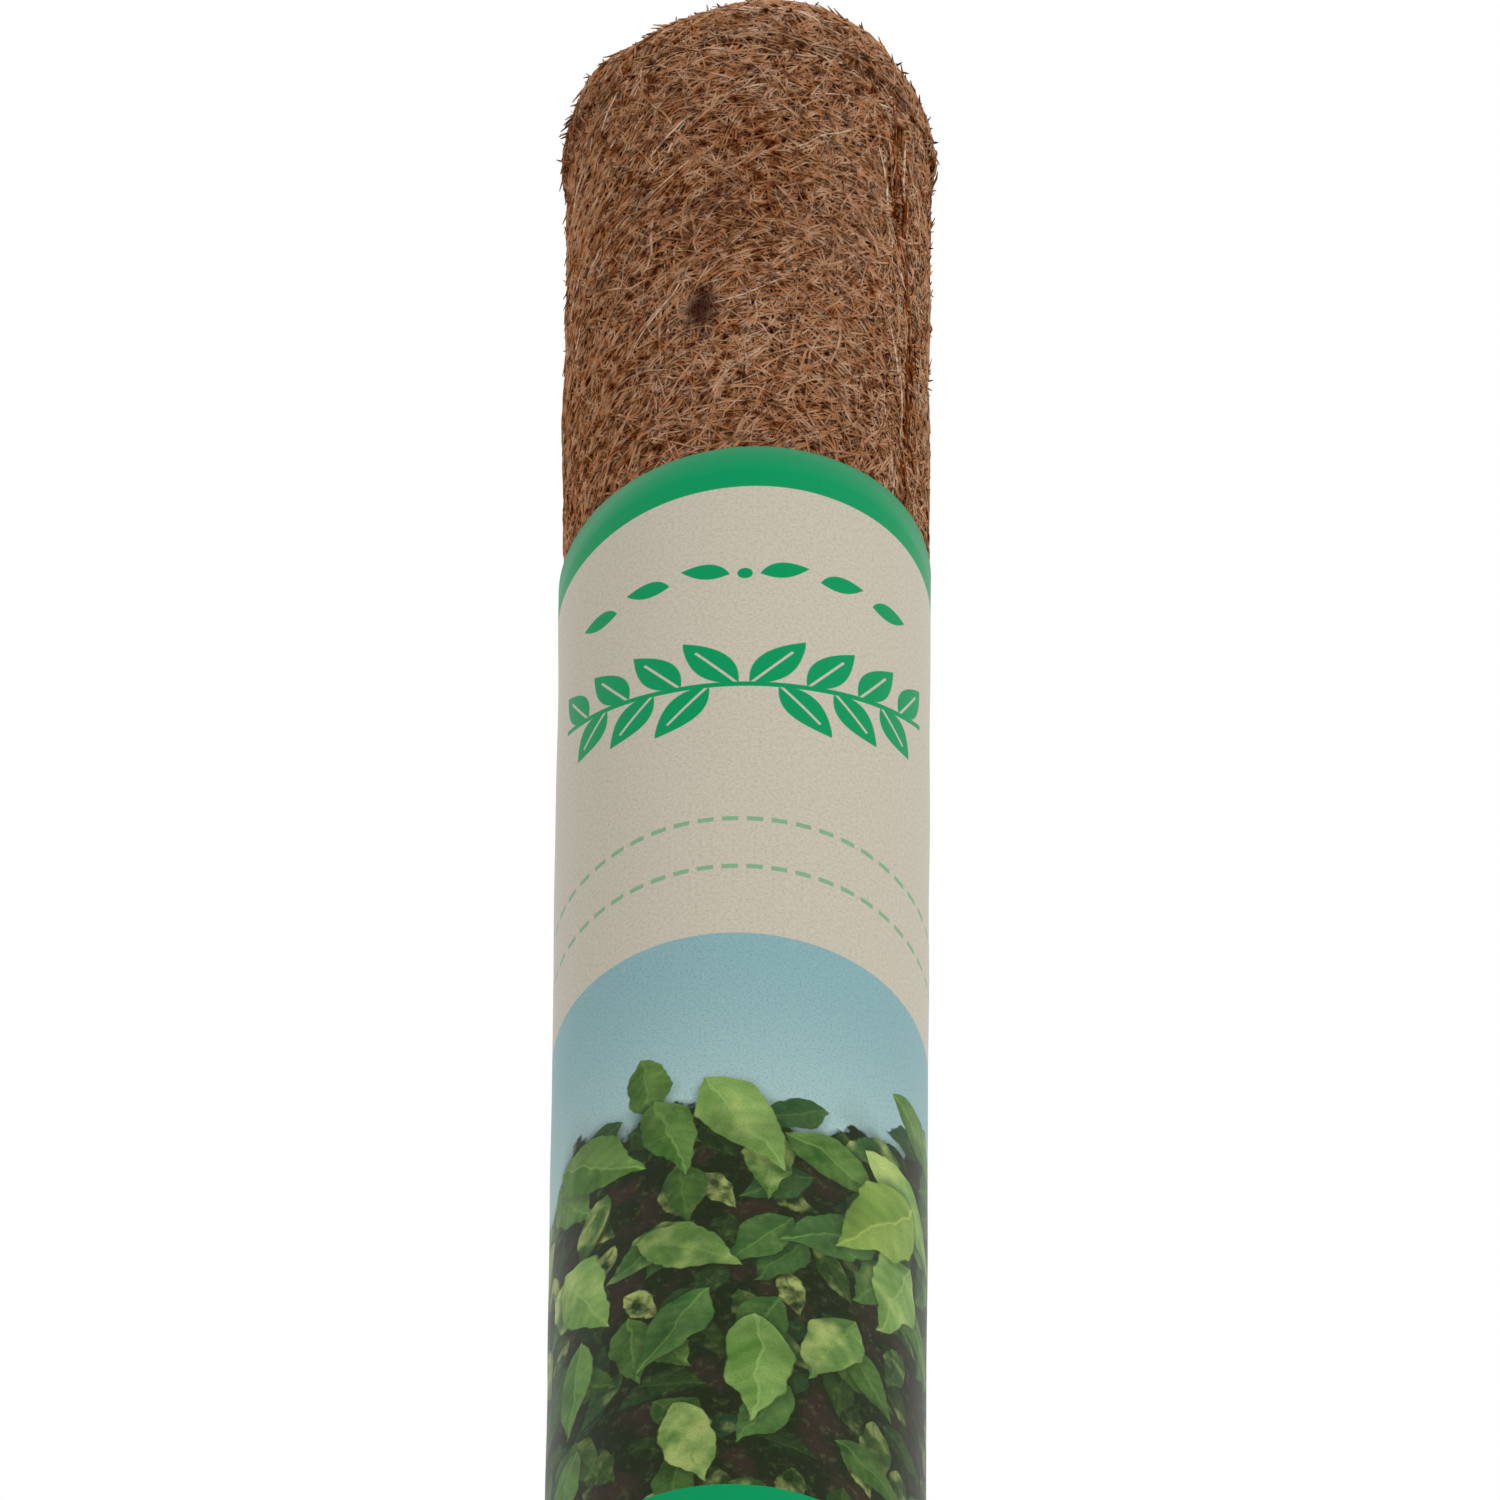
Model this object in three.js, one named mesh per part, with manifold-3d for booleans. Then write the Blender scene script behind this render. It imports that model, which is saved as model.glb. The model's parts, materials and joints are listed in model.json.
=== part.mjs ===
// Coir moss pole, 90 cm: a pointed softwood stake carries a sleeve of coir felt, closed at the top by a
// round-shouldered felt plug, and a printed card label is wrapped round the sleeve and glued to itself.
// Millimetres, +Z up. The origin is the middle of the stake's blunt tip, and the label's front faces -Y.
import * as THREE from "three";
import { mergeVertices } from "three/addons/utils/BufferGeometryUtils.js";
import Module from "manifold-3d";

const wasm = await Module();
wasm.setup();

// Driving dimensions
const overallLength = 900;
const fitGap = 0.3; // air between pieces that sit against each other

const stakeDiameter = 22;
const tipDiameter = 6;
const pointLength = 45;
const stakeEndChamfer = 1.5;
const bareStakeLength = 120; // wood left bare below the felt, to be pushed into the compost

const feltThickness = 7.7;
const hemRadius = 5; // rounding of the felt's lower edge
const seamAngle = -30; // degrees from +X: the sleeve's lengthwise seam, on the right of the label's front
const seamSlant = 35; // degrees round the pole that the skived edges overlap
const seamGap = 0.4;

const shoulderRadius = 11; // rounding of the plug's head, from its edge up to its nearly flat top
const crownHeight = 0.6; // how far the middle of that top rises
const rimHeight = 2; // upright edge of the plug's head, under the rounding
const rimProud = 0.15; // the plug's head is a little wider than the sleeve
const rimRadius = 1.2;
const plugDepth = 12; // how far the plug's stem goes down inside the sleeve

const stapleCount = 4;
const stapleCrown = 10; // outside width
const stapleLeg = 11.5; // from the top of the crown to the points
const stapleWireWidth = 1.2;
const stapleWireThickness = 0.6;
const stapleSink = 0.9; // the crown is pulled this far into the felt
const stapleAboveHem = 9;

const labelHeight = 167.5;
const labelBelowTop = 79;
const cardThickness = 0.25;
const lapLength = 14; // how far the label's end laps over its start, at the back
const lapRise = 12; // length of card over which the end climbs onto the start
const glueThickness = 0.15;
const glueWidth = 9;
const glueEndMargin = 5;
const glueClearance = 0.1;

const roundSegments = 64;

// Sizes and heights that follow from them
const stakeRadius = stakeDiameter / 2;
const feltBore = stakeRadius + fitGap;
const feltRadius = feltBore + feltThickness;
const hemZ = bareStakeLength;
const rimTopZ = overallLength - crownHeight - shoulderRadius;
const shoulderZ = rimTopZ - rimHeight; // top of the sleeve, where the plug's head sits
const plugSeatZ = shoulderZ - plugDepth; // bottom of the plug's stem, on the end of the stake
const labelInnerRadius = feltRadius + rimProud + fitGap;
const labelTopZ = overallLength - labelBelowTop;
const labelBottomZ = labelTopZ - labelHeight;
const stapleZ = hemZ + stapleAboveHem;

const felt = new THREE.MeshStandardMaterial({ color: 0x7b533a, roughness: 0.95, metalness: 0 });
const wood = new THREE.MeshStandardMaterial({ color: 0xc9a36f, roughness: 0.75, metalness: 0 });
const steel = new THREE.MeshStandardMaterial({ color: 0xa9adb0, roughness: 0.35, metalness: 1 });
const card = new THREE.MeshStandardMaterial({ color: 0xbfb7a8, roughness: 0.5, metalness: 0 });
const glue = new THREE.MeshStandardMaterial({ color: 0xe0d8bc, roughness: 0.4, metalness: 0 });

// Closed geometry to a solid that can be cut, and back
function solidOf(geometry) {
  const bare = geometry.clone();
  bare.deleteAttribute("normal");
  bare.deleteAttribute("uv");
  const merged = mergeVertices(bare, 1e-4);
  return new wasm.Manifold(
    new wasm.Mesh({
      numProp: 3,
      vertProperties: new Float32Array(merged.attributes.position.array),
      triVerts: new Uint32Array(merged.index.array),
    }),
  );
}

function geometryOf(solid) {
  const mesh = solid.getMesh();
  return new THREE.BufferGeometry()
    .setAttribute("position", new THREE.BufferAttribute(mesh.vertProperties, 3))
    .setIndex(new THREE.BufferAttribute(mesh.triVerts, 1));
}

// A profile of [radius, height] points turned about the pole's axis
function turned(profile) {
  const points = profile.map(([radius, height]) => new THREE.Vector2(radius, height));
  return new THREE.LatheGeometry(points, roundSegments).rotateX(Math.PI / 2);
}

// A flat outline raised from one height to another
function raised(shape, bottomZ, topZ) {
  const depth = topZ - bottomZ;
  return new THREE.ExtrudeGeometry(shape, { depth, bevelEnabled: false }).translate(0, 0, bottomZ);
}

function polar(radius, angle) {
  return new THREE.Vector2(radius * Math.cos(angle), radius * Math.sin(angle));
}

// Points along an arc of constant radius, both ends included
function arcPoints(radius, from, to) {
  const steps = Math.max(1, Math.ceil((Math.abs(to - from) / (2 * Math.PI)) * roundSegments));
  return Array.from({ length: steps + 1 }, (_, i) => polar(radius, from + ((to - from) * i) / steps));
}

function named(name, geometry, material) {
  const mesh = new THREE.Mesh(geometry, material);
  mesh.name = name;
  return mesh;
}

// One staple, flat in its own plane: X across the crown, Y outwards from the pole, as deep as its wire.
// For the slot that it sits in, spread widens the wire on every side and reach carries the crown outwards.
function stapleGeometry(spread, reach) {
  const half = stapleCrown / 2 + spread;
  const inside = stapleCrown / 2 - stapleWireThickness - spread;
  const crownTop = feltRadius - stapleSink + reach;
  const crownUnder = feltRadius - stapleSink - stapleWireThickness - spread;
  const pointY = feltRadius - stapleSink - stapleLeg - spread;
  const pointStart = pointY + 2 * stapleWireThickness; // the legs are cut to a slant below here
  const outline = new THREE.Shape([
    new THREE.Vector2(-half, crownTop),
    new THREE.Vector2(-half, pointStart),
    new THREE.Vector2(-inside, pointY),
    new THREE.Vector2(-inside, crownUnder),
    new THREE.Vector2(inside, crownUnder),
    new THREE.Vector2(inside, pointY),
    new THREE.Vector2(half, pointStart),
    new THREE.Vector2(half, crownTop),
  ]);
  const halfWidth = stapleWireWidth / 2 + spread;
  return raised(outline, -halfWidth, halfWidth);
}

// Turn about the pole, in radians, that carries a staple to its place: the first one closes the seam
function stapleTurn(index) {
  const pastSeam = seamAngle - seamSlant / 2;
  return THREE.MathUtils.degToRad(pastSeam - 90 + (360 / stapleCount) * index);
}

// The slots that the staples have pressed into the felt and the wood
function stapleSlots() {
  return Array.from({ length: stapleCount }, (_, index) =>
    solidOf(
      stapleGeometry(fitGap, stapleSink + feltThickness)
        .rotateZ(stapleTurn(index))
        .translate(0, 0, stapleZ),
    ),
  );
}

function withSlots(geometry) {
  return geometryOf(stapleSlots().reduce((body, slot) => body.subtract(slot), solidOf(geometry)));
}

// Softwood dowel with a turned point, blunted at the tip, and a chamfered upper end under the plug
function woodenStake() {
  const endZ = plugSeatZ - fitGap;
  return withSlots(
    turned([
      [0, 0],
      [tipDiameter / 2, 0],
      [stakeRadius, pointLength],
      [stakeRadius, endZ - stakeEndChamfer],
      [stakeRadius - stakeEndChamfer, endZ],
      [0, endZ],
    ]),
  );
}

// Coir felt rolled once round the stake. Both edges are skived, so that they lap without a ridge,
// and the hem is trimmed round.
function coirSleeve() {
  const seam = THREE.MathUtils.degToRad(seamAngle);
  const slant = THREE.MathUtils.degToRad(seamSlant);
  const outerEnd = seam + 2 * Math.PI - seamGap / feltRadius;
  const innerEnd = seam - slant + 2 * Math.PI - seamGap / feltBore;
  const section = new THREE.Shape([
    ...arcPoints(feltRadius, seam, outerEnd),
    ...arcPoints(feltBore, innerEnd, seam - slant),
  ]);
  const roll = solidOf(raised(section, hemZ, shoulderZ));
  const hemSteps = 5;
  const hem = Array.from({ length: hemSteps + 1 }, (_, i) => {
    const turn = (Math.PI / 2) * (i / hemSteps);
    return [feltRadius - hemRadius * (1 - Math.sin(turn)), hemZ + hemRadius * (1 - Math.cos(turn))];
  });
  const beyond = feltRadius + fitGap;
  const envelope = turned([
    [0, hemZ - fitGap],
    [feltRadius - hemRadius - fitGap, hemZ - fitGap],
    ...hem.slice(0, hemSteps),
    [beyond, hemZ + hemRadius],
    [beyond, shoulderZ + fitGap],
    [0, shoulderZ + fitGap],
  ]);
  return withSlots(geometryOf(roll.intersect(solidOf(envelope))));
}

// Felt plug that closes the top: a stem inside the sleeve and a rounded head that hides the sleeve's end
function coirTopPlug() {
  const headRadius = feltRadius + rimProud;
  const stemRadius = feltBore - fitGap;
  const headZ = shoulderZ + fitGap;
  const topRadius = headRadius - shoulderRadius; // of the nearly flat part
  const shoulderSteps = 7;
  const shoulder = Array.from({ length: shoulderSteps + 1 }, (_, i) => {
    const turn = (Math.PI / 2) * (i / shoulderSteps);
    return [topRadius + shoulderRadius * Math.cos(turn), rimTopZ + shoulderRadius * Math.sin(turn)];
  });
  return turned([
    [0, plugSeatZ],
    [stemRadius, plugSeatZ],
    [stemRadius, headZ],
    [headRadius - rimRadius, headZ],
    [headRadius, Math.min(headZ + rimRadius, rimTopZ - fitGap)],
    ...shoulder,
    [topRadius / 2, overallLength - crownHeight / 4],
    [0, overallLength],
  ]);
}

// Printed card wrapped once round the sleeve, its end climbing over its start at the back
const lapStep = cardThickness + glueThickness + 2 * glueClearance;
const lapAngle = lapLength / labelInnerRadius;
const riseAngle = lapRise / labelInnerRadius;
const lapStart = Math.PI / 2 - lapAngle / 2;

function labelWrap() {
  const fullTurn = 2 * Math.PI;
  const climb = (angle) => {
    const share = THREE.MathUtils.smoothstep(angle, fullTurn - riseAngle, fullTurn);
    return labelInnerRadius + lapStep * share;
  };
  const steps = Math.ceil(((fullTurn + lapAngle) / fullTurn) * roundSegments * 1.5);
  const angles = Array.from({ length: steps + 1 }, (_, i) => ((fullTurn + lapAngle) * i) / steps);
  const outside = angles.map((angle) => polar(climb(angle) + cardThickness, lapStart + angle));
  const inside = angles.map((angle) => polar(climb(angle), lapStart + angle)).reverse();
  return raised(new THREE.Shape([...outside, ...inside]), labelBottomZ, labelTopZ);
}

// Strip of glue between the two layers of the lap
function labelGlueStrip() {
  const inner = labelInnerRadius + cardThickness + glueClearance;
  const half = glueWidth / 2 / labelInnerRadius;
  const middle = lapStart + lapAngle / 2;
  const section = new THREE.Shape([
    ...arcPoints(inner + glueThickness, middle - half, middle + half),
    ...arcPoints(inner, middle + half, middle - half),
  ]);
  return raised(section, labelBottomZ + glueEndMargin, labelTopZ - glueEndMargin);
}

const mossPole = new THREE.Group();
mossPole.add(named("wooden_stake", woodenStake(), wood));
mossPole.add(named("coir_sleeve", coirSleeve(), felt));
mossPole.add(named("coir_top_plug", coirTopPlug(), felt));

for (let index = 0; index < stapleCount; index++) {
  const staple = named(`hem_staple_${index + 1}`, stapleGeometry(0, 0), steel);
  staple.rotation.z = stapleTurn(index);
  staple.position.z = stapleZ;
  mossPole.add(staple);
}

const label = new THREE.Group();
label.add(named("label_wrap", labelWrap(), card));
label.add(named("label_glue_strip", labelGlueStrip(), glue));
mossPole.add(label);

export default mossPole;
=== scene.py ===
"""Looks of a coir moss pole: felted coconut fibre on a wooden stake, with a printed card label round it.

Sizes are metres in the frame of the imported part: +Z up, the label's front towards -Y. Only the print on the
label is drawn in millimetres, on the unrolled card.
"""

from __future__ import annotations

import json
import logging
import math
from dataclasses import dataclass, replace
from enum import Enum
from typing import Any, Callable, Sequence

import bpy
import numpy as np
from mathutils import Matrix, Vector

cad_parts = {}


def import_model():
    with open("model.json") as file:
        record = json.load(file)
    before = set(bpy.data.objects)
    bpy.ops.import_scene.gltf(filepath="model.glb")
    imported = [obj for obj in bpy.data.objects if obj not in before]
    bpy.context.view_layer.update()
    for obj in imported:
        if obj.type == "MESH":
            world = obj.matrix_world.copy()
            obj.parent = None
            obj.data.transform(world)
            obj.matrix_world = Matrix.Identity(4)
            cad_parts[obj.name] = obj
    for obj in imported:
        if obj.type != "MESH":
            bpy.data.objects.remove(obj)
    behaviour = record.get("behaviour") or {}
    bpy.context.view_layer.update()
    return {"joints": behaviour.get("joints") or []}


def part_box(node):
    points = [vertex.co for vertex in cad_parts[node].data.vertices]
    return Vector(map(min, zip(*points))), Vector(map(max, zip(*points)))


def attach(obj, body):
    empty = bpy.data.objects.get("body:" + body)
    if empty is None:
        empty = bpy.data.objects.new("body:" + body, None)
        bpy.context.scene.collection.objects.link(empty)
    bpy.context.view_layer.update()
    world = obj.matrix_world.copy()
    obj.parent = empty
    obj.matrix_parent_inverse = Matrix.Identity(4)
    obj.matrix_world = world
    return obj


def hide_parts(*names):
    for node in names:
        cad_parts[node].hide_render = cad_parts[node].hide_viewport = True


LOG = logging.getLogger("moss_pole")
MM = 0.001
Triple = tuple[float, float, float]
Colour = Triple


def tone(*levels: int) -> Colour:
    """Turn an 8-bit screen colour into the linear colour that shaders use.

    Args:
        *levels: Red, green and blue from 0 to 255.

    Returns:
        The linear colour.
    """
    straight, bent = 12.92, 0.055
    shares = [level / 255 for level in levels]
    return tuple(x / straight if x <= 0.04045 else ((x + bent) / (1 + bent)) ** 2.4 for x in shares)


def math_operator(operation: str, swapped: bool = False) -> Callable[..., Wire]:
    """Make one of the operators of a wire.

    Args:
        operation: What its Math node does.
        swapped: Whether the other value comes first, as in 1 - mask.

    Returns:
        The operator.
    """

    def operate(wire: Wire, other: Value = 0.0) -> Wire:
        """Add the operator's Math node."""
        return wire.graph.math(operation, *((other, wire) if swapped else (wire, other)))

    return operate


class Wire:
    """An output socket that adds nodes when it is used in an expression."""

    __add__ = math_operator("ADD")
    __radd__ = math_operator("ADD", swapped=True)
    __sub__ = math_operator("SUBTRACT")
    __rsub__ = math_operator("SUBTRACT", swapped=True)
    __mul__ = math_operator("MULTIPLY")
    __rmul__ = math_operator("MULTIPLY", swapped=True)
    __truediv__ = math_operator("DIVIDE")
    __rtruediv__ = math_operator("DIVIDE", swapped=True)
    __pow__ = math_operator("POWER")
    __rpow__ = math_operator("POWER", swapped=True)
    __lt__ = math_operator("LESS_THAN")
    __gt__ = math_operator("GREATER_THAN")
    __abs__ = math_operator("ABSOLUTE")
    floor = math_operator("FLOOR")
    sine = math_operator("SINE")
    at_least = math_operator("MAXIMUM")
    at_most = math_operator("MINIMUM")

    def __init__(self, graph: Graph, socket: bpy.types.NodeSocket) -> None:
        """Keep the socket and the graph that it belongs to."""
        self.graph = graph
        self.socket = socket

    def also(self, output: int | str) -> Wire:
        """Another output of the same node."""
        return Wire(self.graph, self.graph.socket(self.socket.node.outputs, output))

    def step(self, low: Value, high: Value) -> Wire:
        """Smooth step from 0 at low to 1 at high, which is above low."""
        inputs = {"Value": self, "From Min": low, "From Max": high}
        return self.graph.node("ShaderNodeMapRange", {"interpolation_type": "SMOOTHSTEP"}, inputs)

    def past(self, level: float, softness: float) -> Wire:
        """One past a level and zero before it, with a soft edge between them."""
        return self.step(level - softness, level + softness)

    def vector(self, operation: str, other: Wire | Triple = (0, 0, 0), output: int | str = 0) -> Wire:
        """A Vector Math node on this vector and, where it takes two, another."""
        return self.graph.node("ShaderNodeVectorMath", {"operation": operation}, {0: self, 1: other}, output)

    def length(self) -> Wire:
        """The length of this vector."""
        return self.vector("LENGTH", output="Value")

    def scaled(self, factor: Value) -> Wire:
        """This vector times a number."""
        inputs = {"Vector": self, "Scale": factor}
        return self.graph.node("ShaderNodeVectorMath", {"operation": "SCALE"}, inputs)

    def stretched(self, factors: Triple) -> Wire:
        """This vector times one factor for each axis."""
        return self.vector("MULTIPLY", factors)

    def parts(self) -> tuple[Wire, Wire, Wire]:
        """The three numbers of this vector."""
        first = self.graph.node("ShaderNodeSeparateXYZ", None, {0: self})
        return first, first.also(1), first.also(2)

    def mixed(self, other: Wire | Colour, share: Value) -> Wire:
        """This colour at share 0, going over to another one at share 1."""
        return self.graph.mixed(self, other, share)

    def ramp(self, stops: Sequence[tuple[float, Colour]]) -> Wire:
        """Colours along this value."""
        return self.graph.node("ShaderNodeValToRGB", {"stops": stops}, {0: self})

    def noise(self, scale: float | Triple, detail: float = 2.0, rough: float = 0.5) -> Wire:
        """Smooth noise around one half, read at this place.

        Args:
            scale: One scale, or one for each axis.
            detail: How many finer octaves are added.
            rough: How strongly they count.

        Returns:
            The noise.
        """
        place = self
        if isinstance(scale, tuple):
            place, scale = self.stretched(scale), 1.0
        inputs = {"Vector": place, "Scale": scale, "Detail": detail, "Roughness": rough}
        return self.graph.node("ShaderNodeTexNoise", None, inputs)

    def bump(self, depth: float, strength: float = 1.0) -> Wire:
        """A normal tilted by this height."""
        inputs = {"Height": self, "Distance": depth, "Strength": strength}
        return self.graph.node("ShaderNodeBump", None, inputs)


Value = Wire | float | int


class Graph:
    """A node tree under construction, for a material, a world or geometry."""

    def __init__(self, tree: bpy.types.NodeTree) -> None:
        """Keep the tree."""
        self.tree = tree

    @staticmethod
    def socket(sockets: Any, key: int | str) -> bpy.types.NodeSocket:
        """Find a socket by its place or its identifier.

        Args:
            sockets: A node's inputs or outputs.
            key: Place in the list, or identifier.

        Returns:
            The socket.
        """
        if isinstance(key, int):
            return sockets[key]
        return next(found for found in sockets if found.identifier == key)

    def feed(self, target: bpy.types.NodeSocket, value: Any) -> None:
        """Link a wire to a socket, or set the socket's own value.

        Args:
            target: Input socket.
            value: Wire, number, vector, colour, text, or data-block.
        """
        if isinstance(value, Wire):
            self.tree.links.new(value.socket, target)
        elif target.type == "RGBA":
            target.default_value = (*value, 1.0)
        else:
            target.default_value = value

    def node(
        self,
        kind: str,
        settings: dict[str, Any] | None = None,
        inputs: dict[int | str, Any] | None = None,
        output: int | str = 0,
    ) -> Wire:
        """Add a node.

        Args:
            kind: The node's type.
            settings: Its properties, set first. A ramp's stops go under "stops".
            inputs: Values or wires by socket place or identifier.
            output: Place or identifier of the output that is wanted.

        Returns:
            That output. A node without outputs gives its first input.
        """
        made = self.tree.nodes.new(kind)
        for name, value in (settings or {}).items():
            if name == "stops":
                self._set_stops(made.color_ramp, value)
            else:
                setattr(made, name, value)
        for key, value in (inputs or {}).items():
            self.feed(self.socket(made.inputs, key), value)
        if not made.outputs:
            return Wire(self, made.inputs[0])
        return Wire(self, self.socket(made.outputs, output))

    @staticmethod
    def _set_stops(ramp: bpy.types.ColorRamp, stops: Sequence[tuple[float, Colour]]) -> None:
        """Write a colour ramp's stops.

        Args:
            ramp: The ramp, which has two stops of its own.
            stops: Place and colour of each stop.
        """
        while len(ramp.elements) < len(stops):
            ramp.elements.new(1.0)
        for element, (place, colour) in zip(ramp.elements, stops):
            element.position = place
            element.color = (*colour, 1.0)

    def math(self, operation: str, first: Value, second: Value) -> Wire:
        """A Math node on two values."""
        return self.node("ShaderNodeMath", {"operation": operation}, {0: first, 1: second})

    def joined(self, x: Value, y: Value, z: Value = 0.0) -> Wire:
        """A vector of three numbers."""
        return self.node("ShaderNodeCombineXYZ", None, {0: x, 1: y, 2: z})

    def mixed(self, first: Wire | Colour, second: Wire | Colour, share: Value) -> Wire:
        """A colour between the first, at share 0, and the second, at share 1."""
        inputs = {"Factor_Float": share, "A_Color": first, "B_Color": second}
        return self.node("ShaderNodeMix", {"data_type": "RGBA"}, inputs, "Result_Color")

    def place(self) -> Wire:
        """Object coordinates of the shaded point, in metres."""
        return self.node("ShaderNodeTexCoord", None, None, "Object")

    def attribute(self, name: str, output: str = "Fac") -> Wire:
        """A number or, from the output Vector, a vector that the mesh carries."""
        return self.node("ShaderNodeAttribute", {"attribute_name": name}, None, output)


class Material:
    """A new material with one Principled shader."""

    def __init__(self, name: str, constants: dict[str, Any]) -> None:
        """Make the material.

        Args:
            name: The material's name.
            constants: Values for the shader's sockets.
        """
        self.data = bpy.data.materials.new(name)
        self.data.use_nodes = True
        self.graph = Graph(self.data.node_tree)
        nodes = self.data.node_tree.nodes
        self.shader = next(node for node in nodes if node.type == "BSDF_PRINCIPLED")
        for socket, value in constants.items():
            self.feed(socket, value)

    def feed(self, socket: str, value: Any) -> None:
        """Set or link one socket of the shader."""
        self.graph.feed(self.graph.socket(self.shader.inputs, socket), value)


class Finish:
    """What a piece is made of: each finish names its material, sets its shader and paints what changes."""

    NAME = ""
    CONSTANTS: dict[str, Any] = {}

    def paint(self, graph: Graph) -> dict[str, Wire]:
        """What feeds the shader's sockets, by their names."""
        raise NotImplementedError

    def make(self) -> bpy.types.Material:
        """Build the material.

        Returns:
            The material.
        """
        made = Material(self.NAME, self.CONSTANTS)
        for socket, value in self.paint(made.graph).items():
            made.feed(socket, value)
        return made.data


@dataclass(frozen=True)
class ShadedPits:
    """Ragged pits of two sizes in the felt, painted dark as shade, at the same places for the strands and
    their bed.
    """

    # Painted shade: the dark brown that stands in for the shade down in the pits.
    colour: Colour = tone(62, 14, 0)
    spacings: tuple[float, ...] = (1.5 * MM, 0.95 * MM)
    raggedness: float = 1.1 * MM
    core: float = 0.18
    faintest: float = 0.75

    def mask(self, place: Wire) -> Wire:
        """Where the pits' painted shade goes.

        Args:
            place: Object coordinates.

        Returns:
            Up to one in a pit, else zero.
        """
        inputs = {"Vector": place, "Scale": 1400.0, "Detail": 1.0}
        drift = place.graph.node("ShaderNodeTexNoise", None, inputs, "Color")
        ragged = drift.vector("SUBTRACT", (0.5, 0.5, 0.5)).scaled(self.raggedness)
        ragged = place.vector("ADD", ragged)
        pits: Value = 0.0
        for spacing in self.spacings:
            inputs = {"Vector": ragged, "Scale": 1 / spacing}
            cells = place.graph.node("ShaderNodeTexVoronoi", None, inputs, "Distance")
            chance, _, _ = cells.also("Color").parts()
            pit = (1 - cells.step(self.core, chance * 0.36 + 0.36)) * chance.step(0.0, 0.45)
            pits = pit.at_least(pits)
        patches = place.noise(300, 1).step(0.3, 0.6)
        return pits * (patches * (1 - self.faintest) + self.faintest)


@dataclass(frozen=True)
class Stain:
    """A darker patch in the felt: its place, its radius and how strongly it shows."""

    centre: Triple
    radius: float
    strength: float

    def mask(self, place: Wire, ragged: Wire) -> Wire:
        """Where the stain is.

        Args:
            place: Object coordinates.
            ragged: Noise around zero that frays the edge.

        Returns:
            The strength in the stain, else zero.
        """
        away = place.vector("SUBTRACT", self.centre).stretched((1, 1, 0.55))
        off = away.length() + ragged * (self.radius * 0.9)
        return (1 - off.step(self.radius * 0.15, self.radius * 1.05)) * self.strength


@dataclass(frozen=True)
class StrandFinish(Finish):
    """Coconut fibre: each strand has a brown of its own, and small pits between strands are painted dark as
    shade.

    The matting is how much the felt's normal counts beside the strand's own. The painted side light makes the
    felt paler towards +X, the side that the key lamp lights, by the metre.
    """

    NAME = "coir_strands"
    CONSTANTS = {"Roughness": 0.9, "Diffuse Roughness": 1.0, "Specular IOR Level": 0.0}
    pits: ShadedPits = ShadedPits()
    deep: Colour = tone(116, 58, 22)
    brown: Colour = tone(175, 120, 80)
    warm: Colour = tone(198, 158, 127)
    pale: Colour = tone(217, 188, 161)
    stain: Colour = tone(56, 26, 22)
    matting: float = 0.92
    # Painted light: how much paler the felt is painted towards +X, where the key lamp stands, by the metre.
    painted_side_light: float = 4.5
    stains: tuple[Stain, ...] = (
        Stain((-4.6 * MM, -18.5 * MM, 844 * MM), 2.8 * MM, 0.92),
        Stain((-11.6 * MM, -15.2 * MM, 865 * MM), 2.2 * MM, 0.4),
        Stain((-3.4 * MM, -18.9 * MM, 862 * MM), 3.0 * MM, 0.3),
        Stain((6.0 * MM, 18.1 * MM, 560 * MM), 5.0 * MM, 0.5),
        Stain((-17.0 * MM, 8.5 * MM, 410 * MM), 4.0 * MM, 0.45),
        Stain((12.0 * MM, -14.7 * MM, 260 * MM), 4.5 * MM, 0.4),
    )

    def paint(self, graph: Graph) -> dict[str, Wire]:
        """Browns from the strand's tint, the felt's patches, painted shade by the strand's height in the pile
        and painted light on the lit side, then the pits' painted shade and stains.

        Args:
            graph: The material's nodes.

        Returns:
            What feeds the shader's sockets.
        """
        tint = graph.attribute("strand_tint")
        height = graph.attribute("strand_height")
        place = graph.place()
        across, _, _ = place.parts()
        blotch = place.stretched((1, 1, 0.6)).noise(70, 3)
        tuft = place.noise(330, 2)
        mottle = place.noise(800, 0)
        shade = tint * 0.3 + 0.38 + (blotch - 0.5) * 0.45 + (tuft - 0.5) * 0.65 + (mottle - 0.5) * 1.15
        # Painted shade: strands low in the pile are darker. Painted light: the felt is paler towards +X.
        shade = shade + (height - 0.5) * 0.25 + across * self.painted_side_light
        colour = shade.ramp([(0.0, self.deep), (0.38, self.brown), (1.0, self.warm)])
        colour = colour.mixed(self.pale, tint.step(0.95, 1.25) * 0.9)
        # Painted shade in the pits, weaker on strands that lie high in the pile.
        pitted = self.pits.mask(place) * (1 - height * 0.5)
        colour = colour.mixed(self.pits.colour, pitted)
        ragged = place.noise(420, 2) - 0.5
        for spot in self.stains:
            colour = colour.mixed(self.stain, spot.mask(place, ragged))
        return {"Base Color": colour, "Normal": self._matted_normal(graph)}

    def _matted_normal(self, graph: Graph) -> Wire:
        """A normal between the strand's own and that of the felt under it, so that strands read as one mat.

        Args:
            graph: The material's nodes.

        Returns:
            The normal.
        """
        felt = graph.node(
            "ShaderNodeVectorTransform",
            {"vector_type": "NORMAL", "convert_from": "OBJECT", "convert_to": "WORLD"},
            {0: graph.attribute("felt_normal", "Vector")},
        )
        own = graph.node("ShaderNodeNewGeometry", None, None, "Normal")
        both = felt.scaled(self.matting).vector("ADD", own.scaled(1 - self.matting))
        return both.vector("NORMALIZE")


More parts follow.
